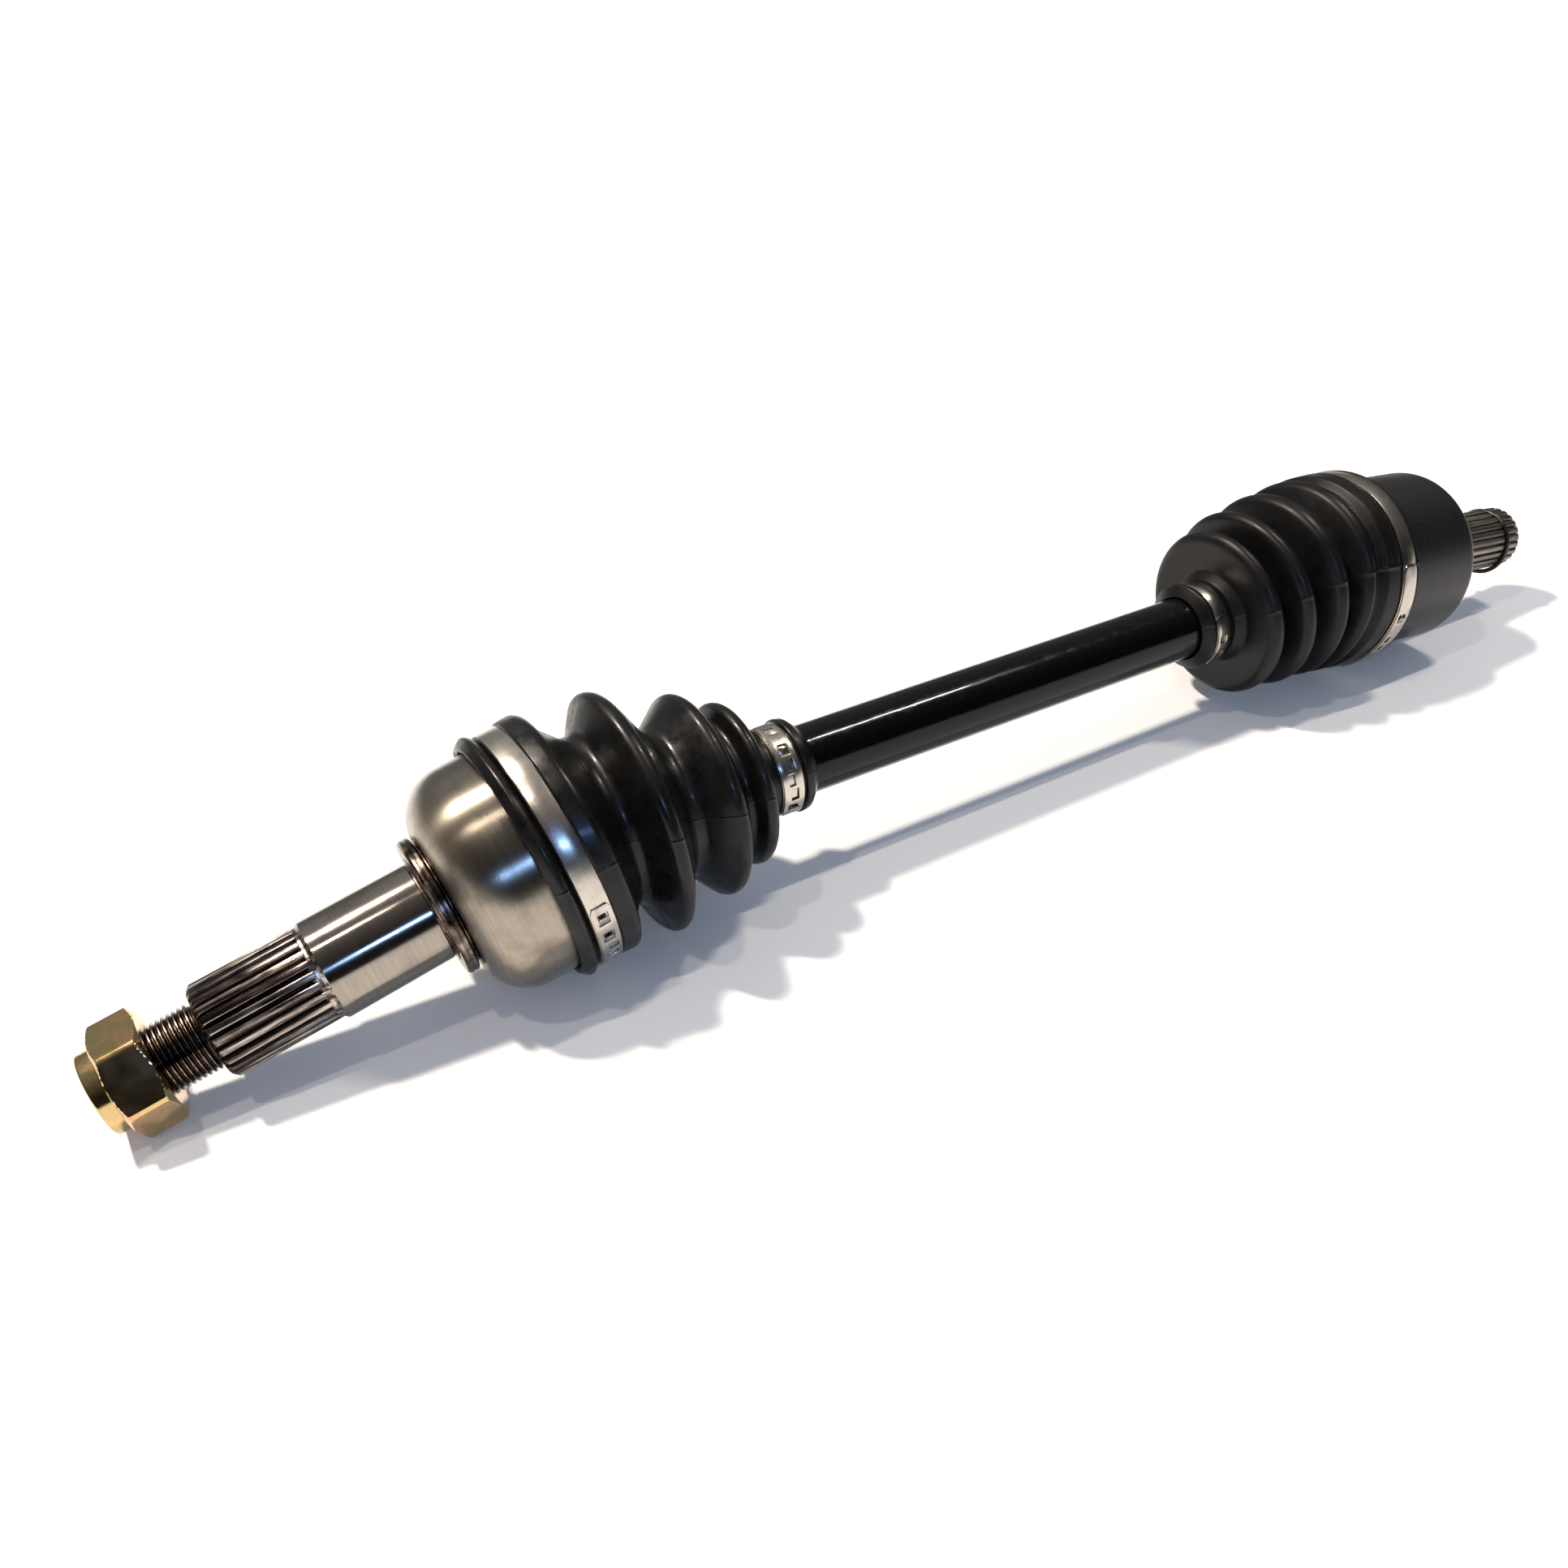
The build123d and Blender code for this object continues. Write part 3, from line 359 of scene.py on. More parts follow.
def turnedMesh(name, axis, path, segments, materials, materialAt):
    # turns a profile that starts and ends on the axis, or comes back to its start
    onAxis = [radius < 1e-4 for _, radius in path]
    rings, points = [], []
    for (place, radius), pole in zip(path, onAxis):
        turns = [0.0] if pole else [2 * math.pi * k / segments for k in range(segments)]
        rings.append(range(len(points), len(points) + len(turns)))
        points += [pointOn(axis, place, radius, turn) for turn in turns]
    faces, uvs, slots = [], [], []
    run = 0.0
    for row in range(len(path) - 1):
        (placeA, radiusA), (placeB, radiusB) = path[row], path[row + 1]
        step = math.hypot(placeB - placeA, radiusB - radiusA)
        for k in range(segments):
            a, b = rings[row], rings[row + 1]
            corners = [(a[k % len(a)], run, k), (a[(k + 1) % len(a)], run, k + 1),
                       (b[(k + 1) % len(b)], run + step, k + 1), (b[k % len(b)], run + step, k)]
            if len(a) == 1:
                corners.pop(1)
            elif len(b) == 1:
                corners.pop(2)
            faces.append([corner for corner, _, _ in corners])
            uvs += [(u * 0.05, v / segments * 4) for _, u, v in corners]
            slots.append(materialAt((placeA + placeB) / 2, (radiusA + radiusB) / 2))
        run += step
    mesh = newMesh(name, points, faces, *materials)
    layer = mesh.uv_layers.new(name="turned")
    for loop, uv in zip(layer.data, uvs):
        loop.uv = uv
    for polygon, slot in zip(mesh.polygons, slots):
        polygon.material_index = slot
    return mesh


def evaluatedMesh(name, host):  # the host's modifiers worked out into a plain mesh
    mesh = bpy.data.meshes.new_from_object(host.evaluated_get(bpy.context.evaluated_depsgraph_get()))
    mesh.name = name
    bpy.data.objects.remove(host)
    return mesh


def hostWith(name, mesh, tree, inputs):  # an object with a Geometry Nodes modifier and its inputs
    host = newObject(name + "Host", mesh)
    modifier = host.modifiers.new(tree.name, "NODES")
    modifier.node_group = tree
    for item in tree.interface.items_tree:
        if item.item_type == "SOCKET" and item.in_out == "INPUT" and item.name in inputs:
            modifier[item.identifier] = inputs[item.name]
    return host


def newGeometryTree(name, numbers):
    tree = bpy.data.node_groups.new(name, "GeometryNodeTree")
    tree.interface.new_socket("Geometry", in_out="INPUT", socket_type="NodeSocketGeometry")
    for label, kind in {**numbers, "Material": "NodeSocketMaterial"}.items():
        tree.interface.new_socket(label, in_out="INPUT", socket_type=kind)
    tree.interface.new_socket("Geometry", in_out="OUTPUT", socket_type="NodeSocketGeometry")
    add = partial(addNode, tree)
    return tree, add, add("NodeGroupInput").outputs


def endGeometryTree(add, source, shape):  # the shape made real and given its material
    real = add("GeometryNodeRealizeInstances", None, {"Geometry": shape})
    coated = add("GeometryNodeSetMaterial", None, {"Geometry": real, "Material": source["Material"]})
    add("NodeGroupOutput", None, {"Geometry": coated})


def makeToothTree():  # copies of a tooth, evenly round the X axis
    tree, add, source = newGeometryTree("splineTeeth", {"Teeth": "NodeSocketInt"})
    seats = add("GeometryNodeMeshLine", {"Offset": (0, 0, 0)}, {"Count": source["Teeth"]})
    turn = add("Math", {"operation": "DIVIDE", 0: 2 * math.pi}, {1: source["Teeth"]})
    index = add("GeometryNodeInputIndex")
    angle = add("Math", {"operation": "MULTIPLY"}, {0: index, 1: turn})
    rotation = add("CombineXYZ", None, {"X": angle})
    copies = add("GeometryNodeInstanceOnPoints", None,
                 {"Points": seats, "Instance": source["Geometry"], "Rotation": rotation})
    endGeometryTree(add, source, copies)
    return tree


def toothMesh(name, settings, stretches):
    # a rounded tooth on top of the X axis, one for each stretch of (start, end, first chamfer, last chamfer)
    pitch = 2 * math.pi * settings["tip"] / settings["teeth"]
    tip, root, edge = settings["tip"], settings["root"], settings["edge"]
    half, foot = settings["tipShare"] * pitch / 2, settings["footShare"] * pitch / 2
    sunkRoot = root - 0.25  # the tooth's foot lies inside the shaft
    outline = [(-foot, sunkRoot), (-foot, root), (-half, tip - edge), (-half + 0.35 * edge, tip - 0.3 * edge),
               (-half + edge, tip), (half - edge, tip), (half - 0.35 * edge, tip - 0.3 * edge), (half, tip - edge),
               (foot, root), (foot, sunkRoot)]
    points, faces = [], []
    for start, end, firstChamfer, lastChamfer in stretches:
        stations = [(start, 1.0 if firstChamfer else 0.0), (start + firstChamfer, 0.0), (end - lastChamfer, 0.0),
                    (end, 1.0 if lastChamfer else 0.0)]
        rows = []
        for place, sunk in stations:
            rows.append(range(len(points), len(points) + len(outline)))
            points += [(place, y, z - max(0.0, z - root) * sunk) for y, z in outline]
        for a, b in zip(rows, rows[1:]):
            faces += [(a[k], a[k + 1], b[k + 1], b[k]) for k in range(len(outline) - 1)]
            faces.append((a[-1], a[0], b[0], b[-1]))
        faces += [list(rows[0]), list(reversed(rows[-1]))]
    return newMesh(name, points, faces)


def addSplines(name, axis, settings, stretches, material, body, node, slot):
    tooth = toothMesh(name, settings, stretches)
    mesh = evaluatedMesh(name, hostWith(name, tooth, toothTree, {"Teeth": settings["teeth"], "Material": material}))
    mesh.transform(localMatrix(axis))
    return finishMesh(name, mesh, body, node, slot, 50)


toothTree = makeToothTree()


threadShape = {"footShare": 0.94, "crestShare": 0.16, "riseShare": 0.42, "fadeShare": 0.03, "stepsInTurn": 56}


def makeThreadTree():  # a ridge swept along a spiral, fading in and out at its ends
    numbers = {label: "NodeSocketFloat" for label in ("Turns", "Length", "Root", "Depth", "Pitch")}
    tree, add, source = newGeometryTree("threadRidge", numbers)
    spiral = add("GeometryNodeCurveSpiral", {"Resolution": threadShape["stepsInTurn"], "Reverse": True}, {
        "Rotations": source["Turns"], "Height": source["Length"],
        "Start Radius": source["Root"], "End Radius": source["Root"],
    })
    upright = add("GeometryNodeSetCurveNormal", {"mode": "Z_UP"}, {"Curve": spiral})
    share = add("GeometryNodeSplineParameter").outputs["Factor"]
    fadeEnd = threadShape["fadeShare"]
    runIn = add("MapRange", {"From Min": 0.0, "From Max": fadeEnd}, {"Value": share})
    runOut = add("MapRange", {"From Min": 1.0, "From Max": 1 - fadeEnd}, {"Value": share})
    fade = add("Math", {"operation": "MULTIPLY"}, {0: runIn, 1: runOut})
    scaled = add("GeometryNodeSetCurveRadius", None, {"Curve": upright, "Radius": fade})
    foot, crest, middle = [add("Math", {"operation": "MULTIPLY", 1: threadShape[part]}, {0: source[whole]})
                           for part, whole in (("footShare", "Pitch"), ("crestShare", "Pitch"), ("riseShare", "Depth"))]
    ridge = add("GeometryNodeCurvePrimitiveQuadrilateral", {"mode": "TRAPEZOID", "Offset": 0.0},
                {"Bottom Width": foot, "Top Width": crest, "Height": source["Depth"]})
    lift = add("CombineXYZ", None, {"X": middle})
    profile = add("GeometryNodeTransform", {"Rotation": (0, 0, -math.pi / 2)}, {"Geometry": ridge, "Translation": lift})
    swept = add("GeometryNodeCurveToMesh", {"Fill Caps": True}, {"Curve": scaled, "Profile Curve": profile})
    endGeometryTree(add, source, swept)
    return tree


stub = {
    "segments": 192, "shoulder": placeOf(stubAxis, mounts["hub_journal"]["pos_m"]),
    **{name: mounts["hub_" + name]["dims"] for name in ("journal", "spline", "thread")},
    "threadDepth": 0.92, "threadPitch": 1.5, "threadFromEnd": 0.4, "threadGap": 1.2,
    "splineTeeth": {"teeth": 26, "tip": 14.05, "root": 12.75, "tipShare": 0.56, "footShare": 0.80, "edge": 0.30},
    "ringRadius": 21.2, "domeRadius": 15.1, "domeSteps": 24, "neckRadius": 18.8, "domeStart": -26.6,
    "bandGroove": (2.9, 3.5, 7.3, 7.9), "grooveDepth": 0.7,
    "mouthRadius": 31.2, "cavityRadius": 31.1, "cavityDepth": 20.4, "cavitySteps": 9,
}


def makeStub():
    low, mouth, bell = reachOf("outboard_housing", stubAxis)
    shoulder = stub["shoulder"]
    journal = stub["journal"]["r_mm"]
    spline = placeOf(stubAxis, mounts["hub_spline"]["pos_m"])
    splineStart, splineEnd = spline - stub["spline"]["length_mm"] / 2, spline + stub["spline"]["length_mm"] / 2
    core = stub["thread"]["r_mm"] - stub["threadDepth"]
    ring, neck = stub["ringRadius"], stub["neckRadius"]
    dome, domeStart, foot = stub["domeRadius"], stub["domeStart"], bell - stub["domeRadius"]
    turns = [math.radians(90 * k / stub["domeSteps"]) for k in range(1, stub["domeSteps"] + 1)]
    arc = [(domeStart + dome * (1 - math.cos(a)), foot + dome * math.sin(a)) for a in turns]
    root = stub["splineTeeth"]["root"]
    outline = rounded(shifted(
        low, (3.0, 0, 0), (3.0, 1.2, 0.1), (0.6, 2.6, 0.2), (0, 2.9, 0.2), (0, core - 1.0, 0.2), (1.2, core, 0.2),
    ) + shifted(
        splineStart, (-1.4, core, 0.3), (-0.9, core - 0.2, 0.3), (-0.1, core, 0.1), (0, root - 0.9, 0.2),
        (1.0, root, 0.2),
    ) + shifted(
        splineEnd, (-2.2, root, 0.6), (-0.7, root + 1.3, 0.4), (0.2, journal - 1.0, 0.2), (1.3, journal, 0.3),
    ) + shifted(
        shoulder, (-1.2, journal, 0.15), (-0.9, journal - 0.35, 0.2), (-0.5, journal - 0.3, 0.2),
        (-0.4, journal + 1.2, 0.2), (0, journal + 1.5, 0.15), (0, 20.5, 0.2), (0.7, ring, 0.35), (1.6, ring, 0.1),
        (1.8, ring - 0.3, 0.1), (2.0, ring - 0.3, 0.1), (2.2, ring, 0.1), (3.1, ring, 0.35), (3.6, ring - 0.6, 0.25),
        (3.6, neck, 0.4),
    ) + shifted(domeStart, (0, neck + 0.2, 0.4), (0.05, foot, 0.3)))
    outline += arc
    grooveA, grooveB, grooveC, grooveD = stub["bandGroove"]
    groove, cavity = bell - stub["grooveDepth"], stub["cavityRadius"]
    outline += rounded([
        (0.0, bell, 0), (grooveA, bell, 0.2), (grooveB, groove, 0.2), (grooveC, groove, 0.2), (grooveD, bell, 0.2),
        (mouth, bell, 0.6), (mouth, stub["mouthRadius"], 0.4), (0.0, cavity, 0),
    ])
    deepest, steps = math.asin(stub["cavityDepth"] / cavity), stub["cavitySteps"]
    turns = [deepest * k / steps for k in range(1, steps + 1)]
    outline += [(-cavity * math.sin(a), cavity * math.cos(a)) for a in turns]
    outline.append((-stub["cavityDepth"], 0))

    def finishAt(place, radius):
        if place < splineStart - 0.05:
            return 0
        if place < splineEnd + 1.1:
            return 1
        if place < shoulder - 1.0:
            return 2
        if place < domeStart + 0.1 and radius < bell - 8:
            return 3
        return 4

    steels = [threadSteel, stubSplineSteel, groundSteel, shoulderSteel, turnedSteel]
    owner = ("stub_axle", "outboard_housing", "forged_steel")
    mesh = turnedMesh("stubForging", stubAxis, outline, stub["segments"], steels, finishAt)
    finishMesh("stubForging", mesh, *owner, 28)
    stretches = [(splineStart + 0.02, splineEnd - 0.8, 1.3, 0.0)]
    addSplines("stubSplineTeeth", stubAxis, stub["splineTeeth"], stretches, stubSplineSteel, *owner)
    threadStart = low + stub["threadFromEnd"]
    length = splineStart - stub["threadGap"] - threadStart
    host = hostWith("stubThread", newMesh("threadSeed", [(0, 0, 0)], []), makeThreadTree(), {
        "Turns": length / stub["threadPitch"], "Length": length, "Root": core, "Depth": stub["threadDepth"] + 0.1,
        "Pitch": stub["threadPitch"], "Material": threadSteel,
    })
    mesh = evaluatedMesh("stubThread", host)
    start = axisThrough(stubAxis["centre"] + stubAxis["along"] * threadStart, stubAxis["along"])
    mesh.transform(localMatrix(start) @ Matrix.Rotation(math.pi / 2, 4, "Y"))
    finishMesh("stubThread", mesh, *owner, 30)
    print("stub axle: spline", round(splineStart, 1), round(splineEnd, 1), "thread length", round(length, 1))


makeStub()

hubNut = {
    "segments": 360, "acrossFlats": 30.0, "cornerCut": 0.378, "cornerBlend": 0.35, "chamfer": 2.7, "chamferSlope": 30,
    "collarRadius": 12.0, "collarLength": 4.6, "bore": 10.05, "mouth": (12.6, 11.2),
}


def hexRadius(turn):
    # a flat on top, and each corner blended over a small angle
    flat, soft = hubNut["acrossFlats"] / 2, hubNut["cornerBlend"]
    offset = (turn + math.pi / 6) % (math.pi / 3) - math.pi / 6
    sharp = flat / math.cos(offset)
    corner = flat / math.cos(math.pi / 6) - hubNut["cornerCut"]
    blend = max(0.0, min(1.0, 0.5 + (sharp - corner) / (2 * soft)))
    return sharp * (1 - blend) + corner * blend - soft * blend * (1 - blend)


def makeNut():
    low, high, _ = reachOf("hub_nut", stubAxis)
    bore, collarRadius, chamfer = hubNut["bore"], hubNut["collarRadius"], hubNut["chamfer"]
    face = low + hubNut["collarLength"]
    widest = hubNut["acrossFlats"] / 2 / math.cos(math.pi / 6)
    rise = chamfer * math.tan(math.radians(hubNut["chamferSlope"]))
    steps = [k / 7 for k in range(8)]
    cone = [(rise * t * 1.15, widest - chamfer * (1 - t) + 0.25 * t, True) for t in steps]
    collar = rounded([(low + 0.1, bore, 0), (low, bore + 0.5, 0.2), (low, collarRadius, 0.6),
                      (face - 0.5, collarRadius, 0.3), (face, collarRadius + 0.5, 0)])
    path = [(place, radius, False) for place, radius in collar]
    path += [(face + away, radius, isHex) for away, radius, isHex in cone]
    path += [(face + (high - face) * t, widest + 1, True) for t in (0.2, 0.35, 0.5, 0.65, 0.8)]
    path += [(high - away, radius, isHex) for away, radius, isHex in reversed(cone)]
    path += [(high, radius, False) for radius in hubNut["mouth"]] + [(high - 0.8, bore, False)]
    count = hubNut["segments"]
    turns = [2 * math.pi * k / count for k in range(count)]
    points = []
    for place, radius, isHex in path:
        points += [pointOn(stubAxis, place, min(radius, hexRadius(turn)) if isHex else radius, turn) for turn in turns]
    faces = closedGrid(len(path), count)
    mesh = newMesh("hubNutSteel", points, faces, zincNutSteel)
    finishMesh("hubNutSteel", mesh, "stub_axle", "hub_nut", "zinc_nut", 24)
    print("hub nut:", len(faces), "faces")


makeNut()

cup = {
    "segments": 192, "endFace": 18.5, "edge": 5.0, "bore": 27.9, "floor": 14.2, "clipFromEnd": 9.0, "clipGroove": 0.95,
    "bandGroove": (-28.6, -28.0, -24.2, -23.6), "grooveDepth": 0.7, "recess": (24.6, 24.2, 13.9), "recessDepth": 0.35,
    "splineTeeth": {"teeth": 24, "tip": 11.9, "root": 10.95, "tipShare": 0.60, "footShare": 0.86, "edge": 0.22},
}


def makeCup():
    mouth, end, radius = reachOf("inboard_cup", cupAxis)
    teeth, bore, face = cup["splineTeeth"], cup["bore"], cup["endFace"]
    tip, root = teeth["tip"], teeth["root"]
    clipStart, clipEnd = end - cup["clipFromEnd"] - cup["clipGroove"], end - cup["clipFromEnd"] + cup["clipGroove"]
    grooveA, grooveB, grooveC, grooveD = cup["bandGroove"]
    groove, recess = radius - cup["grooveDepth"], face - cup["recessDepth"]
    outer, inner, hub = cup["recess"]
    outline = rounded([
        (cup["floor"], 0, 0), (cup["floor"], bore, 0.8), (mouth, bore, 0.4), (mouth, radius, 0.9),
        (grooveA, radius, 0.2), (grooveB, groove, 0.2), (grooveC, groove, 0.2), (grooveD, radius, 0.2),
        (face, radius, cup["edge"]), (face, outer, 0.2), (recess, inner, 0.2), (recess, hub, 1.2),
    ] + shifted(face, (2.2, tip, 1.0), (3.6, tip, 0.4), (5.6, root, 0.5)) + [
        (clipStart, root, 0.1), (clipStart, root - 0.4, 0.1), (clipEnd, root - 0.4, 0.1), (clipEnd, root, 0.1),
    ] + shifted(
        end, (-1.4, root, 0.2), (0, root - 1.1, 0.3), (0, 3.0, 0.2), (-0.5, 2.6, 0.2), (-2.6, 1.0, 0.1), (-2.6, 0, 0),
    ), 7)

    def finishAt(place, radius):
        return 1 if place > face + 0.2 else 0

    owner = ("differential_cup", "inboard_cup", "satin_black_steel")
    mesh = turnedMesh("cupForging", cupAxis, outline, cup["segments"], [cupPaint, cupSplineSteel], finishAt)
    finishMesh("cupForging", mesh, *owner, 28)
    stretches = [(face + 3.8, clipStart, 0.6, 0.25), (clipEnd, end - 0.25, 0.25, 1.1)]
    addSplines("cupSplineTeeth", cupAxis, teeth, stretches, cupSplineSteel, *owner)
    print("inboard cup: mouth", round(mouth, 1), "end", round(end, 1))


makeCup()


tiny = 1e-6


def beltPath(rounds, stepAngle=math.radians(12)):
    # rounds are (place, radius there, rounding), the rounding above 0 on a crest and below 0 in a valley
    centres = [Vector((place, radius - rounding)) for place, radius, rounding in rounds]
    sizes = [rounding for _, _, rounding in rounds]
    angles = []
    for a, b, sizeA, sizeB in zip(centres, centres[1:], sizes, sizes[1:]):
        gap = b - a
        angles.append(math.atan2(gap.y, gap.x) + math.acos(max(-1.0, min(1.0, (sizeA - sizeB) / gap.length))))

    def pointAt(centre, size, angle):
        return (centre.x + size * math.cos(angle), centre.y + size * math.sin(angle))

    path = [pointAt(centres[0], sizes[0], angles[0])]
    for centre, size, start, end in zip(centres[1:-1], sizes[1:-1], angles, angles[1:]):
        steps = max(2, int(abs(end - start) / stepAngle) + 1)
        path += [pointAt(centre, size, start + (end - start) * k / steps) for k in range(steps + 1)]
    return path + [pointAt(centres[-1], sizes[-1], angles[-1])]


def withRings(path, cuts, longest=1.5):
    # rings no further apart than this, and one exactly at each cut
    dense = [path[0]]
    for a, b in zip(path, path[1:]):
        count = max(1, int(math.hypot(b[0] - a[0], b[1] - a[1]) / longest))
        shares = [k / count for k in range(1, count + 1)]
        low, high = min(a[0], b[0]) + tiny, max(a[0], b[0]) - tiny
        shares += [(cut - a[0]) / (b[0] - a[0]) for cut in cuts if low < cut < high]
        dense += [(a[0] + (b[0] - a[0]) * t, a[1] + (b[1] - a[1]) * t) for t in sorted(set(shares))]
    return dense


def bootTurns(boot):
    # even turns, with three close together at each of the mould's two parting lines
    full, clear = 2 * math.pi, math.radians(0.9)
    seams = [math.radians(boot["partingTurn"]), math.radians(boot["partingTurn"] + 180)]
    even = [full * k / boot["segments"] for k in range(boot["segments"])]

    def fromSeam(turn):
        return min(abs((turn - seam + math.pi) % full - math.pi) for seam in seams)

    turns = [turn for turn in even if fromSeam(turn) > clear]
    turns += [(seam + math.radians(step)) % full for seam in seams for step in (-0.4, 0.0, 0.4)]
    return [(turn, boot["partingHeight"] if fromSeam(turn) < 1e-4 else 0.0) for turn in sorted(turns)]


def bootAxis(boot, first, second, place):  # the bend fades out towards the neck, and a fade of 1 is linear
    low, high, fade = boot["bend"]
    share = min(max((place - low) / (high - low), 0.0), 1.0)
    return mixedAxis(first, second, 1 - (1 - share) ** fade)


def foldAxis(boot, first, second, place):  # the axis of one ring: folds lean over between the neck and the clamp
    axis = bootAxis(boot, first, second, place)
    low, high, most = boot["lean"]
    share = min(max((place - low) / (high - low), 0.0), 1.0)
    lean = math.radians(most * math.sin(math.pi * share))
    return axisThrough(axis["centre"] + axis["along"] * place, Matrix.Rotation(-lean, 3, "Y") @ axis["along"])


def makeBoot(name, boot, first, second, material, node):
    outside = withRings(beltPath(boot["outside"]), boot["cuts"])
    inside = withRings(beltPath(boot["inside"]), boot["cuts"])
    loop = outside + inside[::-1]
    turns = bootTurns(boot)
    points = []
    for row, (place, radius) in enumerate(loop):
        axis = foldAxis(boot, first, second, place)
        points += [pointOn(axis, 0.0, radius + (ridge if row < len(outside) else 0.0), turn) for turn, ridge in turns]
    count = len(turns)
    faces = closedGrid(len(loop), count)
    whole = newMesh(name + "Whole", points, faces)
    turnFacesOut(whole)
    normals = [vertex.normal.copy() for vertex in whole.vertices]
    places = [loop[index // count][0] for index in range(len(points))]
    limits = [-math.inf] + boot["cuts"] + [math.inf]
    for index, (low, high) in enumerate(zip(limits, limits[1:])):
        keep = [corners for corners in (list(polygon.vertices) for polygon in whole.polygons)
                if low - tiny <= min(places[c] for c in corners) and max(places[c] for c in corners) <= high + tiny]
        used = sorted({corner for face in keep for corner in face})
        renumbered = {old: new for new, old in enumerate(used)}
        cutFaces = [[renumbered[corner] for corner in face] for face in keep]
        mesh = newMesh(f"{name}{index + 1}", [points[corner] for corner in used], cutFaces, material)
        mesh.shade_smooth()
        mesh.normals_split_custom_set_from_vertices([normals[corner] for corner in used])
        section = newObject(mesh.name, mesh)
        start, end = boot["bends"][index]
        middle = (start + end) / 2
        axis = foldAxis(boot, first, second, middle)  # the axis square to the folds in the middle of this section's span, which nothing uses
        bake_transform(section)
        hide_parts(node)
    bpy.data.meshes.remove(whole)
    print(name + ":", len(faces), "faces in", len(limits) - 1, "sections")


outboardBoot = {
    "segments": 144, "partingTurn": -76, "partingHeight": 0.22, "bend": (14.0, 75.3, 2.8), "lean": (14.0, 75.3, 0.0),
    "cuts": [17.6, 26.0, 45.0],
    "bodies": ["stub_axle", "outboard_bottom_ball", "outboard_cage_set", "outboard_top_ball", "bar"],
    "bends": [(13.5, 16.3), (18.9, 22.1), (29.9, 41.6), (48.4, 55.7)],
    "outside": [
        (-3.2, 35.0, 0.01), (-3.2, 37.4, 0.8), (-1.2, 38.8, 1.5), (1.1, 37.2, 0.5), (2.3, 36.9, -0.2),
        (8.6, 36.9, -0.2), (9.6, 38.1, 0.8), (13.2, 38.3, 2.6), (17.0, 33.6, -2.0), (23.0, 26.9, -3.0),
        (32.3, 38.1, 2.5), (43.6, 23.8, -3.6), (54.6, 32.0, 2.6), (62.0, 21.2, -2.2), (67.2, 26.0, 2.4),
        (73.4, 14.2, -1.6), (76.0, 13.8, -0.4), (84.9, 13.8, -0.4), (86.0, 15.2, 0.9), (87.4, 15.0, 1.0),
        (90.2, 12.4, 0.5), (90.3, 11.3, 0.01),
    ],
    "inside": [
        (-3.2, 35.0, 0.01), (15.5, 35.0, 0.3), (22.6, 24.9, -2.0), (32.3, 35.9, 1.2), (43.6, 21.6, -2.2),
        (54.6, 29.8, 1.2), (62.0, 19.0, -1.4), (67.2, 23.8, 1.0), (72.6, 12.9, -0.8), (76.6, 11.3, -0.3),
        (90.3, 11.3, 0.01),
    ],
}
inboardBoot = {
    "segments": 144, "partingTurn": -70, "partingHeight": 0.34, "bend": (-87.9, -38.0, 1.0),
    "lean": (-90.0, -43.5, 8.6), "cuts": [-65.9, -56.2, -50.0, -45.1],
    "bodies": ["bar", "inboard_top_ball", "inboard_cage_set", "inboard_bottom_ball", "inboard_bellows",
               "differential_cup"],
    "bends": [(-85.6, -66.9), (-64.5, -57.5), (-55.3, -51.4), (-49.2, -46.2), (-44.0, -38.2)],
    "outside": [
        (-100.9, 11.3, 0.01), (-100.8, 12.3, 0.4), (-98.4, 15.5, 0.9), (-97.6, 15.4, 0.4), (-97.2, 14.5, -0.1),
        (-88.2, 14.5, -0.8), (-86.2, 16.4, -1.2), (-82.0, 30.4, 3.6), (-75.4, 20.4, -1.5), (-69.3, 33.2, 3.0),
        (-62.1, 23.0, -1.5), (-55.0, 34.6, 2.9), (-48.9, 27.2, -1.3), (-43.4, 35.8, 2.5), (-39.2, 33.4, -1.2),
        (-36.2, 36.3, 1.2), (-31.4, 36.6, 1.0), (-29.8, 36.2, -0.2), (-22.6, 36.2, -0.2), (-22.1, 36.9, 0.3),
        (-21.2, 36.9, 0.4), (-20.5, 35.6, 0.3), (-20.5, 32.4, 0.01),
    ],
    "inside": [
        (-100.9, 11.3, 0.01), (-87.2, 11.3, 0.3), (-84.0, 15.4, -0.8), (-82.0, 27.6, 0.9), (-75.4, 18.2, -0.8),
        (-69.3, 30.9, 0.9), (-62.1, 20.8, -0.8), (-55.0, 32.3, 0.9), (-48.9, 25.0, -0.7), (-43.6, 33.4, 0.9),
        (-40.0, 31.8, -0.5), (-38.6, 32.4, 0.2), (-20.5, 32.4, 0.01),
    ],
}
makeBoot("outboardBoot", outboardBoot, stubAxis, barAxis, greasedRubber, "outboard_boot")
makeBoot("inboardBoot", inboardBoot, neckAxis, cupAxis, dryRubber, "inboard_boot")


strip = {"cell": 2.0, "clearOfWindow": 0.6, "taperOver": 2.5}  # all in degrees


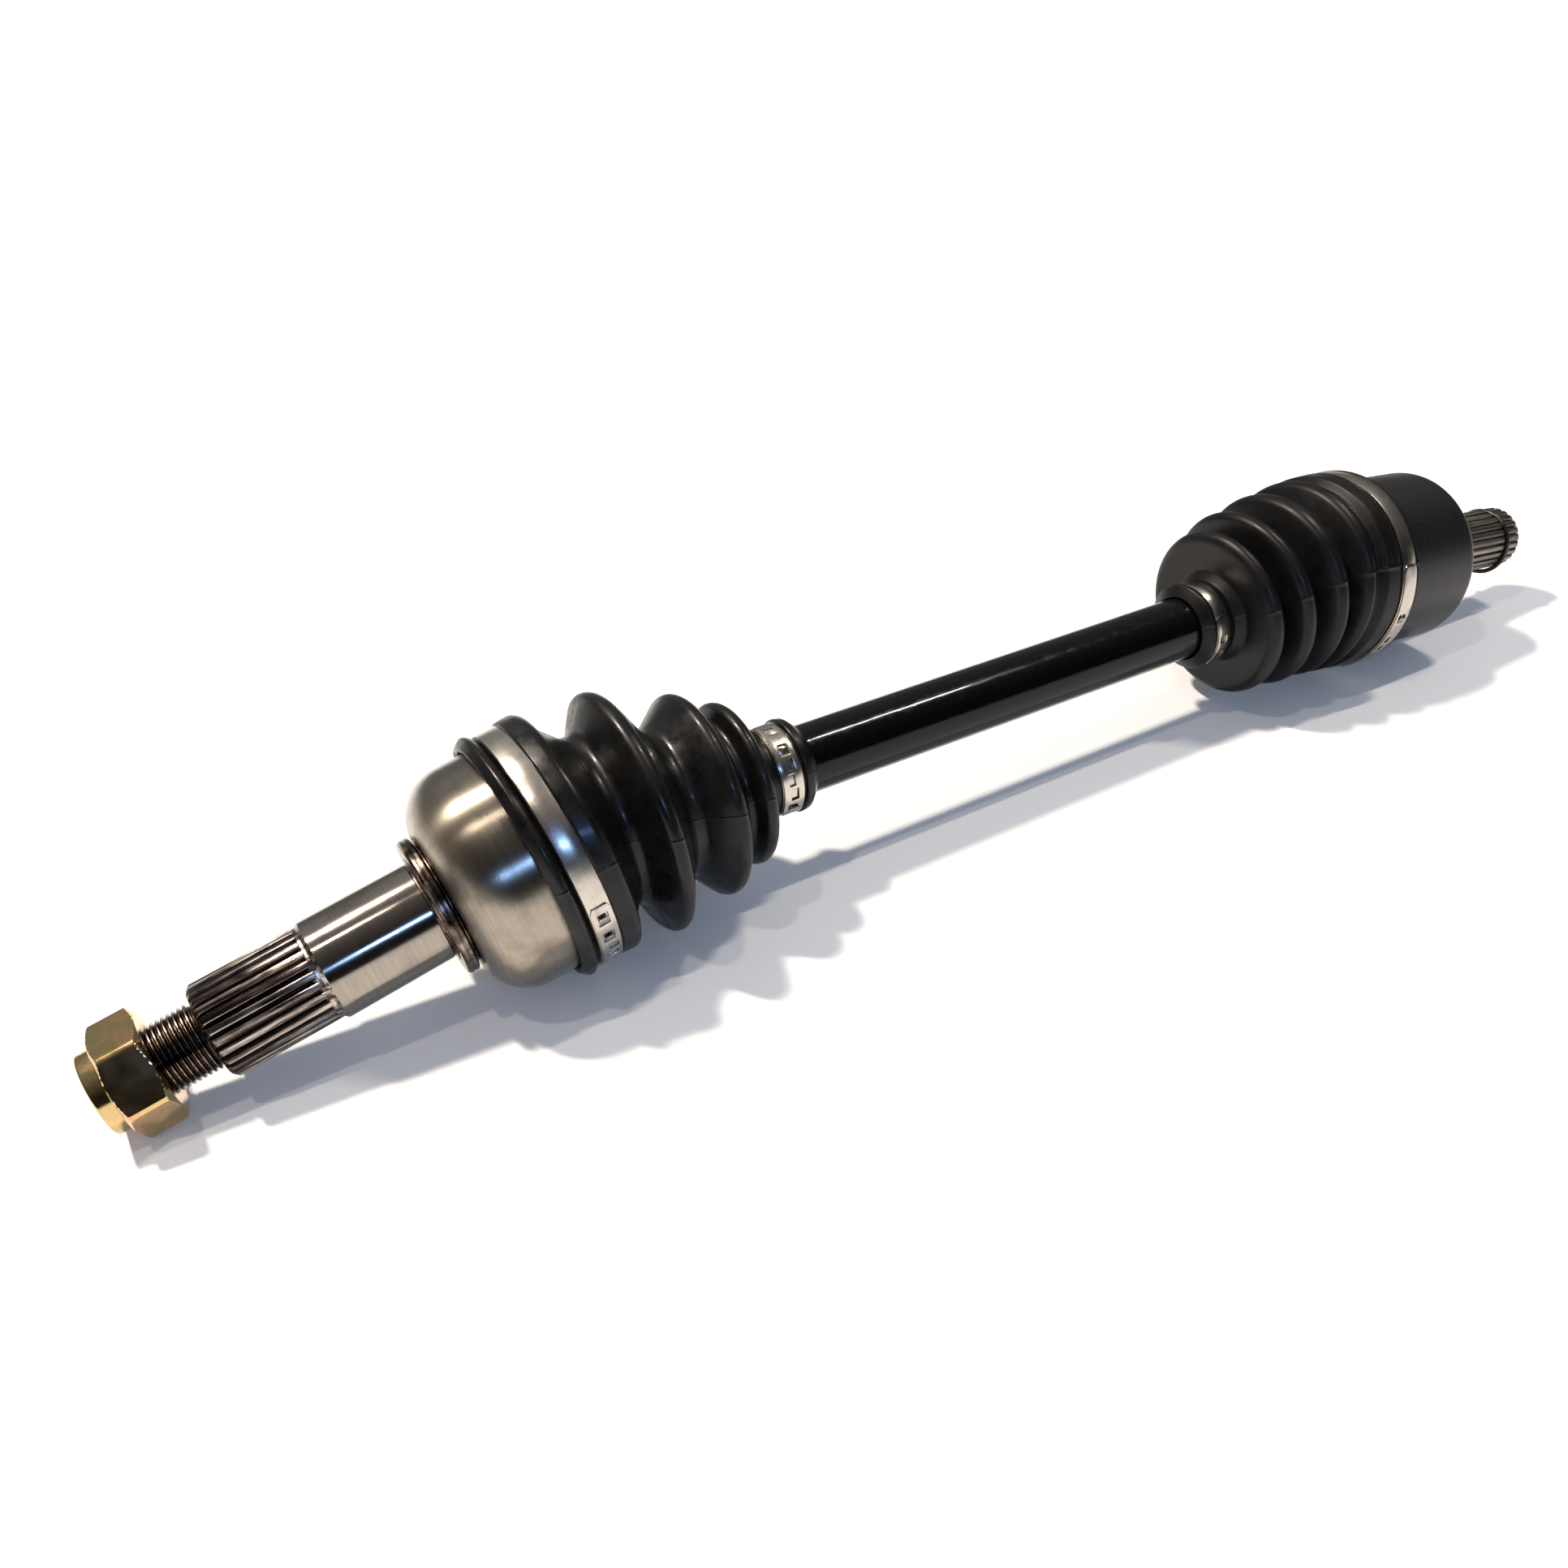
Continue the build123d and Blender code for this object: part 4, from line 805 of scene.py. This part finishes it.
def stripMesh(name, axis, layers, material):
    # each layer is a grid over turn (degrees) and place, without the cells that lie in a window
    work = bmesh.new()
    for layer in layers:
        first, last = layer["turns"]
        low, high = layer["places"]
        closed = last - first >= 360
        count = max(2, round((last - first) / strip["cell"]))
        turnLines = {first + (last - first) * k / count for k in range(count + 1)}
        placeLines = {low, high, (low + high) / 2}
        for window in layer["windows"]:
            turnLines = {turn for turn in turnLines if turn in (first, last)
                         or all(abs(turn - edge) >= strip["clearOfWindow"] for edge in window[:2])}
            turnLines |= set(window[:2])
            placeLines |= set(window[2:])
        turnLines, placeLines = sorted(turnLines), sorted(placeLines)
        if closed:
            turnLines.pop()
        taper = layer.get("taper", 0.0)
        grid = []
        for turn in turnLines:
            fromEnd = min(turn - first, last - turn)
            pull = 0.0 if closed else taper * max(0.0, 1 - fromEnd / strip["taperOver"]) ** 2
            radius = layer["radius"] + layer.get("lift", 0.0) * (turn - first) / (last - first)
            middle = (low + high) / 2
            column = [middle + (place - middle) * (1 - pull) for place in placeLines]
            grid.append([work.verts.new(pointOn(axis, place, radius, math.radians(turn))) for place in column])
        for column in range(len(turnLines) if closed else len(turnLines) - 1):
            following = (column + 1) % len(turnLines)
            ahead = turnLines[following] + (360 if following == 0 else 0)
            for row in range(len(placeLines) - 1):
                turn, place = (turnLines[column] + ahead) / 2, (placeLines[row] + placeLines[row + 1]) / 2
                if any(w[0] < turn < w[1] and w[2] < place < w[3] for w in layer["windows"]):
                    continue
                near, far = grid[column], grid[following]
                work.faces.new((near[row], near[row + 1], far[row + 1], far[row]))
    bmesh.ops.recalc_face_normals(work, faces=work.faces)
    mesh = newMesh(name, [], [], material)
    work.to_mesh(mesh)
    work.free()
    centre = axis["centre"] * mm
    for polygon in mesh.polygons:  # all layers face away from the axis before they get their thickness
        out = polygon.center - centre
        out -= axis["along"] * out.dot(axis["along"])
        if polygon.normal.dot(out) < 0:
            polygon.flip()
    return mesh


def makeClamp(name, axis, clamp, material, body, node):
    low, high, _ = reachOf(node, axis)
    middle, width = (low + high) / 2 + clamp.get("shift", 0.0), high - low
    layers = []
    for part in clamp["layers"]:
        half = part["width"] * width / 2
        windows = [(a, b, middle + c * width / 2, middle + d * width / 2) for a, b, c, d in part.get("windows", [])]
        layers.append({**part, "places": (middle - half, middle + half), "radius": clamp["radius"] + part["rise"],
                       "windows": windows})
    host = newObject(name + "Host", stripMesh(name, axis, layers, material))
    thick = host.modifiers.new("thickness", "SOLIDIFY")
    thick.thickness, thick.offset = clamp["thickness"] * mm, 1.0
    edge = host.modifiers.new("edge", "BEVEL")
    edge.width, edge.segments, edge.limit_method, edge.angle_limit = clamp["edge"] * mm, 2, "ANGLE", math.radians(40)
    mesh = evaluatedMesh(name, host)
    finishMesh(name, mesh, body, node, "stainless_band", 40)
    print(name + ":", len(mesh.polygons), "faces")


outboardLargeClamp = {"radius": 36.95, "thickness": 0.5, "edge": 0.12, "layers": [
    {"rise": 0.0, "width": 1.0, "turns": (-180, 180)},
    {"rise": 0.55, "width": 0.92, "turns": (-150, -90), "taper": 0.25, "windows": [
        (-100.2, -94, -0.55, 0.5), (-111.6, -105.6, -0.55, 0.5), (-120, -115, -0.2, 0.6), (-128, -122, -0.5, 0.5)]},
    {"rise": 0.6, "width": 0.44, "turns": (-99.2, -95.4), "lift": 0.8},
    {"rise": 0.6, "width": 0.44, "turns": (-110.6, -107.0), "lift": 0.8},
]}
outboardSmallClamp = {"radius": 13.85, "thickness": 0.45, "edge": 0.10, "layers": [
    {"rise": 0.0, "width": 0.96, "turns": (-180, 180)},
    {"rise": 0.7, "width": 0.92, "turns": (-132, 14), "taper": 0.2, "windows": [
        (-15, -1, -0.40, 0.42), (-46, -32, -0.40, 0.42), (-65, -51, -0.40, 0.42), (-84, -70, -0.40, 0.20),
        (-104, -88, -0.30, 0.42), (-124, -112, -0.45, 0.40)]},
    {"rise": 0.7, "width": 0.40, "turns": (-122, -113), "lift": 1.0},
    {"rise": 0.5, "width": 0.42, "turns": (-44, -36), "lift": 0.6},
    {"rise": 0.5, "width": 0.42, "turns": (-13, -5), "lift": 0.6},
]}
inboardLargeClamp = {"radius": 36.25, "thickness": 0.5, "edge": 0.12, "layers": [
    {"rise": 0.0, "width": 1.0, "turns": (-180, 180)},
    {"rise": 0.55, "width": 0.90, "turns": (-152, -70), "taper": 0.35, "windows": [
        (-104.5, -99, -0.5, 0.4), (-119, -114.5, -0.5, 0.1), (-126, -122, -0.5, 0.1)]},
    {"rise": 0.6, "width": 0.40, "turns": (-103.6, -100.2), "lift": 0.8},
]}
inboardSmallClamp = {"radius": 14.55, "thickness": 0.45, "edge": 0.10, "shift": -0.7, "layers": [
    {"rise": 0.0, "width": 0.76, "turns": (-180, 180)},
    {"rise": 0.5, "width": 0.70, "turns": (-140, -60), "taper": 0.25, "windows": [
        (-98, -88, -0.3, 0.2), (-122, -112, -0.3, 0.2)]},
]}
bandSteelStub = makeMaterial("stainlessStrip", stubAxis, "Outboard")
bandSteelBar = makeMaterial("stainlessStrip", barAxis, "Necks")
bandSteelCup = makeMaterial("stainlessStrip", cupAxis, "Inboard")
makeClamp("outboardLargeBand", stubAxis, outboardLargeClamp, bandSteelStub, "stub_axle", "outboard_large_clamp")
makeClamp("outboardSmallBand", barAxis, outboardSmallClamp, bandSteelBar, "bar", "outboard_small_clamp")
makeClamp("inboardLargeBand", cupAxis, inboardLargeClamp, bandSteelCup, "differential_cup", "inboard_large_clamp")
makeClamp("inboardSmallBand", neckAxis, inboardSmallClamp, bandSteelBar, "bar", "inboard_small_clamp")


# carried nodes keep their shape and take a finish
def give(node, material):
    piece = frame["nodes"][node]
    if not piece.data.materials:
        piece.data.materials.append(material)
    for index in range(len(piece.data.materials)):
        piece.data.materials[index] = material


for nodeName in frame["nodes"]:
    if "ball" in nodeName or "race" in nodeName or "cage" in nodeName:
        give(nodeName, bearingSteel)
    elif "circlip" in nodeName or "ring" in nodeName:
        give(nodeName, springWire)
give("axle_shaft", barEnamel)
print("carried nodes finished")


studio = {
    "floorHeight": cadBox[0][2] - 0.0002, "floorSize": 6.0, "floorColour": "#f4f4f3", "floorGlow": 0.06,
    "fadeFrom": 0.34, "fadeTo": 0.62, "white": "#ffffff", "ambient": 0.33, "ambientColour": "#d9e4f6",
    # what shiny surfaces see: a dim room on the near side, a grey ceiling, and the pale backdrop on the far side
    "room": [(0.0, "#1b1917"), (0.25, "#292521"), (0.52, "#625f5c"), (0.80, "#8b8b8c"), (1.0, "#cfcfd0")],
    "roomSlope": (0, 0.35, 0.5), "roomMiddle": 0.3,
}


def eitherRay(add, *kinds):  # 1 for a ray of one of these kinds
    rays = add("LightPath").outputs
    found = rays[f"Is {kinds[0]} Ray"]
    for kind in kinds[1:]:
        found = add("Math", {"operation": "MAXIMUM"}, {0: found, 1: rays[f"Is {kind} Ray"]})
    return found


def makeFloor():
    half, height = studio["floorSize"] / 2, studio["floorHeight"]
    corners = [(x, y, height) for x, y in ((-half, -half), (half, -half), (half, half), (-half, half))]
    # matt white card: it takes the shadows near the axle and runs out into plain white
    material, add = newMaterial("cardMattWhite")
    seen = eitherRay(add, "Camera", "Glossy", "Transmission")
    place = add("TexCoord")
    middle = [(low + high) / 2 for low, high in zip(*cadBox)]
    out = add("VectorMath", {"operation": "DISTANCE", 1: (*middle[:2], height)}, {0: place.outputs["Object"]})
    fade = {"interpolation_type": "SMOOTHSTEP", "From Min": studio["fadeFrom"], "From Max": studio["fadeTo"]}
    far = add("MapRange", fade, {"Value": out.outputs["Value"]})
    card = add("BsdfDiffuse", {"Color": studio["floorColour"]})
    glow = add("Math", {"operation": "MULTIPLY", 1: studio["floorGlow"]}, {0: seen})
    light = add("Emission", {"Color": studio["white"]}, {"Strength": glow})
    near = add("AddShader", None, {0: card, 1: light})
    plain = add("Emission", {"Color": studio["white"]})
    plainShare = add("Math", {"operation": "MULTIPLY"}, {0: seen, 1: far})
    both = add("MixShader", None, {0: plainShare, 1: near, 2: plain})
    add("OutputMaterial", None, {"Surface": both})
    newObject("floor", newMesh("floor", corners, [(0, 1, 2, 3)], material))


def makeWorld():
    world = bpy.data.worlds.new("studio")
    bpy.context.scene.world = world
    world.use_nodes = True
    world.node_tree.nodes.clear()
    add = partial(addNode, world.node_tree)
    place = add("TexCoord")
    slope = add("VectorMath", {"operation": "DOT_PRODUCT", 1: studio["roomSlope"]},
                {0: place.outputs["Generated"]})
    height = add("Math", {"operation": "ADD", 1: studio["roomMiddle"]}, {0: slope.outputs["Value"]})
    room = add("ValToRGB", {"stops": studio["room"]}, {"Fac": height})
    lit = add("Background", {"Color": studio["ambientColour"], "Strength": studio["ambient"]})
    mirrored = add("Background", {"Strength": 1.0}, {"Color": room})
    shown = add("Background", {"Color": studio["white"], "Strength": 1.0})
    first = add("MixShader", None, {0: eitherRay(add, "Glossy"), 1: lit, 2: mirrored})
    both = add("MixShader", None, {0: eitherRay(add, "Camera", "Transmission"), 1: first, 2: shown})
    add("OutputWorld", None, {"Surface": both})


lamps = {  # place and size in metres, power in watts; all are turned to the middle of the axle
    "ceilingLeft": {"place": (-0.33, 0.42, 1.30), "size": (0.06, 0.06), "power": 6.5, "colour": "#fff0df"},
    "ceilingNear": {"place": (-0.37, -0.20, 1.30), "size": (0.05, 0.05), "power": 2.4, "colour": "#fff0df"},
    "ceilingBack": {"place": (-0.46, 0.62, 1.62), "size": (0.12, 0.12), "power": 28.0, "colour": "#fff2e2"},
    "tubeRight": {"place": (0.875, -0.10, 1.30), "size": (0.010, 0.25), "power": 7.0, "colour": "#fff6ec"},
    "windowCool": {"place": (-0.02, -1.50, 0.83), "size": (0.50, 0.14), "power": 4.5, "colour": "#8fbaff"},
}


lampAim = Vector((0.15, 0, 0))


def addLamp(name, lamp):
    light = bpy.data.lights.new(name, "AREA")
    light.shape = "RECTANGLE"
    light.size, light.size_y = lamp["size"]
    light.energy = lamp["power"]
    light.color = linear(lamp["colour"])[:3]
    holder = newObject(name, light)
    holder.location = lamp["place"]
    holder.rotation_euler = (lampAim - Vector(lamp["place"])).to_track_quat("-Z", "Y").to_euler()


view = {"place": (-0.0656, -0.3413, 0.2248), "forward": (0.40431, 0.76261, -0.50494), "up": (0.31434, 0.40258, 0.85972),
        "lens": 32.61, "sensor": 36, "nearest": 0.01}


def makeCamera():
    data = bpy.data.cameras.new("camera")
    data.lens, data.sensor_width, data.clip_start = view["lens"], view["sensor"], view["nearest"]
    camera = newObject("camera", data)
    back = -Vector(view["forward"]).normalized()
    right = Vector(view["up"]).cross(back).normalized()
    turn = Matrix((right, back.cross(right), back)).transposed().to_4x4()
    camera.matrix_world = Matrix.Translation(Vector(view["place"])) @ turn
    bpy.context.scene.camera = camera


makeFloor()
makeWorld()
for lampName, lamp in lamps.items():
    addLamp(lampName, lamp)
makeCamera()
bpy.context.scene.view_settings.view_transform = "Standard"
print("studio: floor at", round(studio["floorHeight"], 4), "and", len(lamps), "lamps")
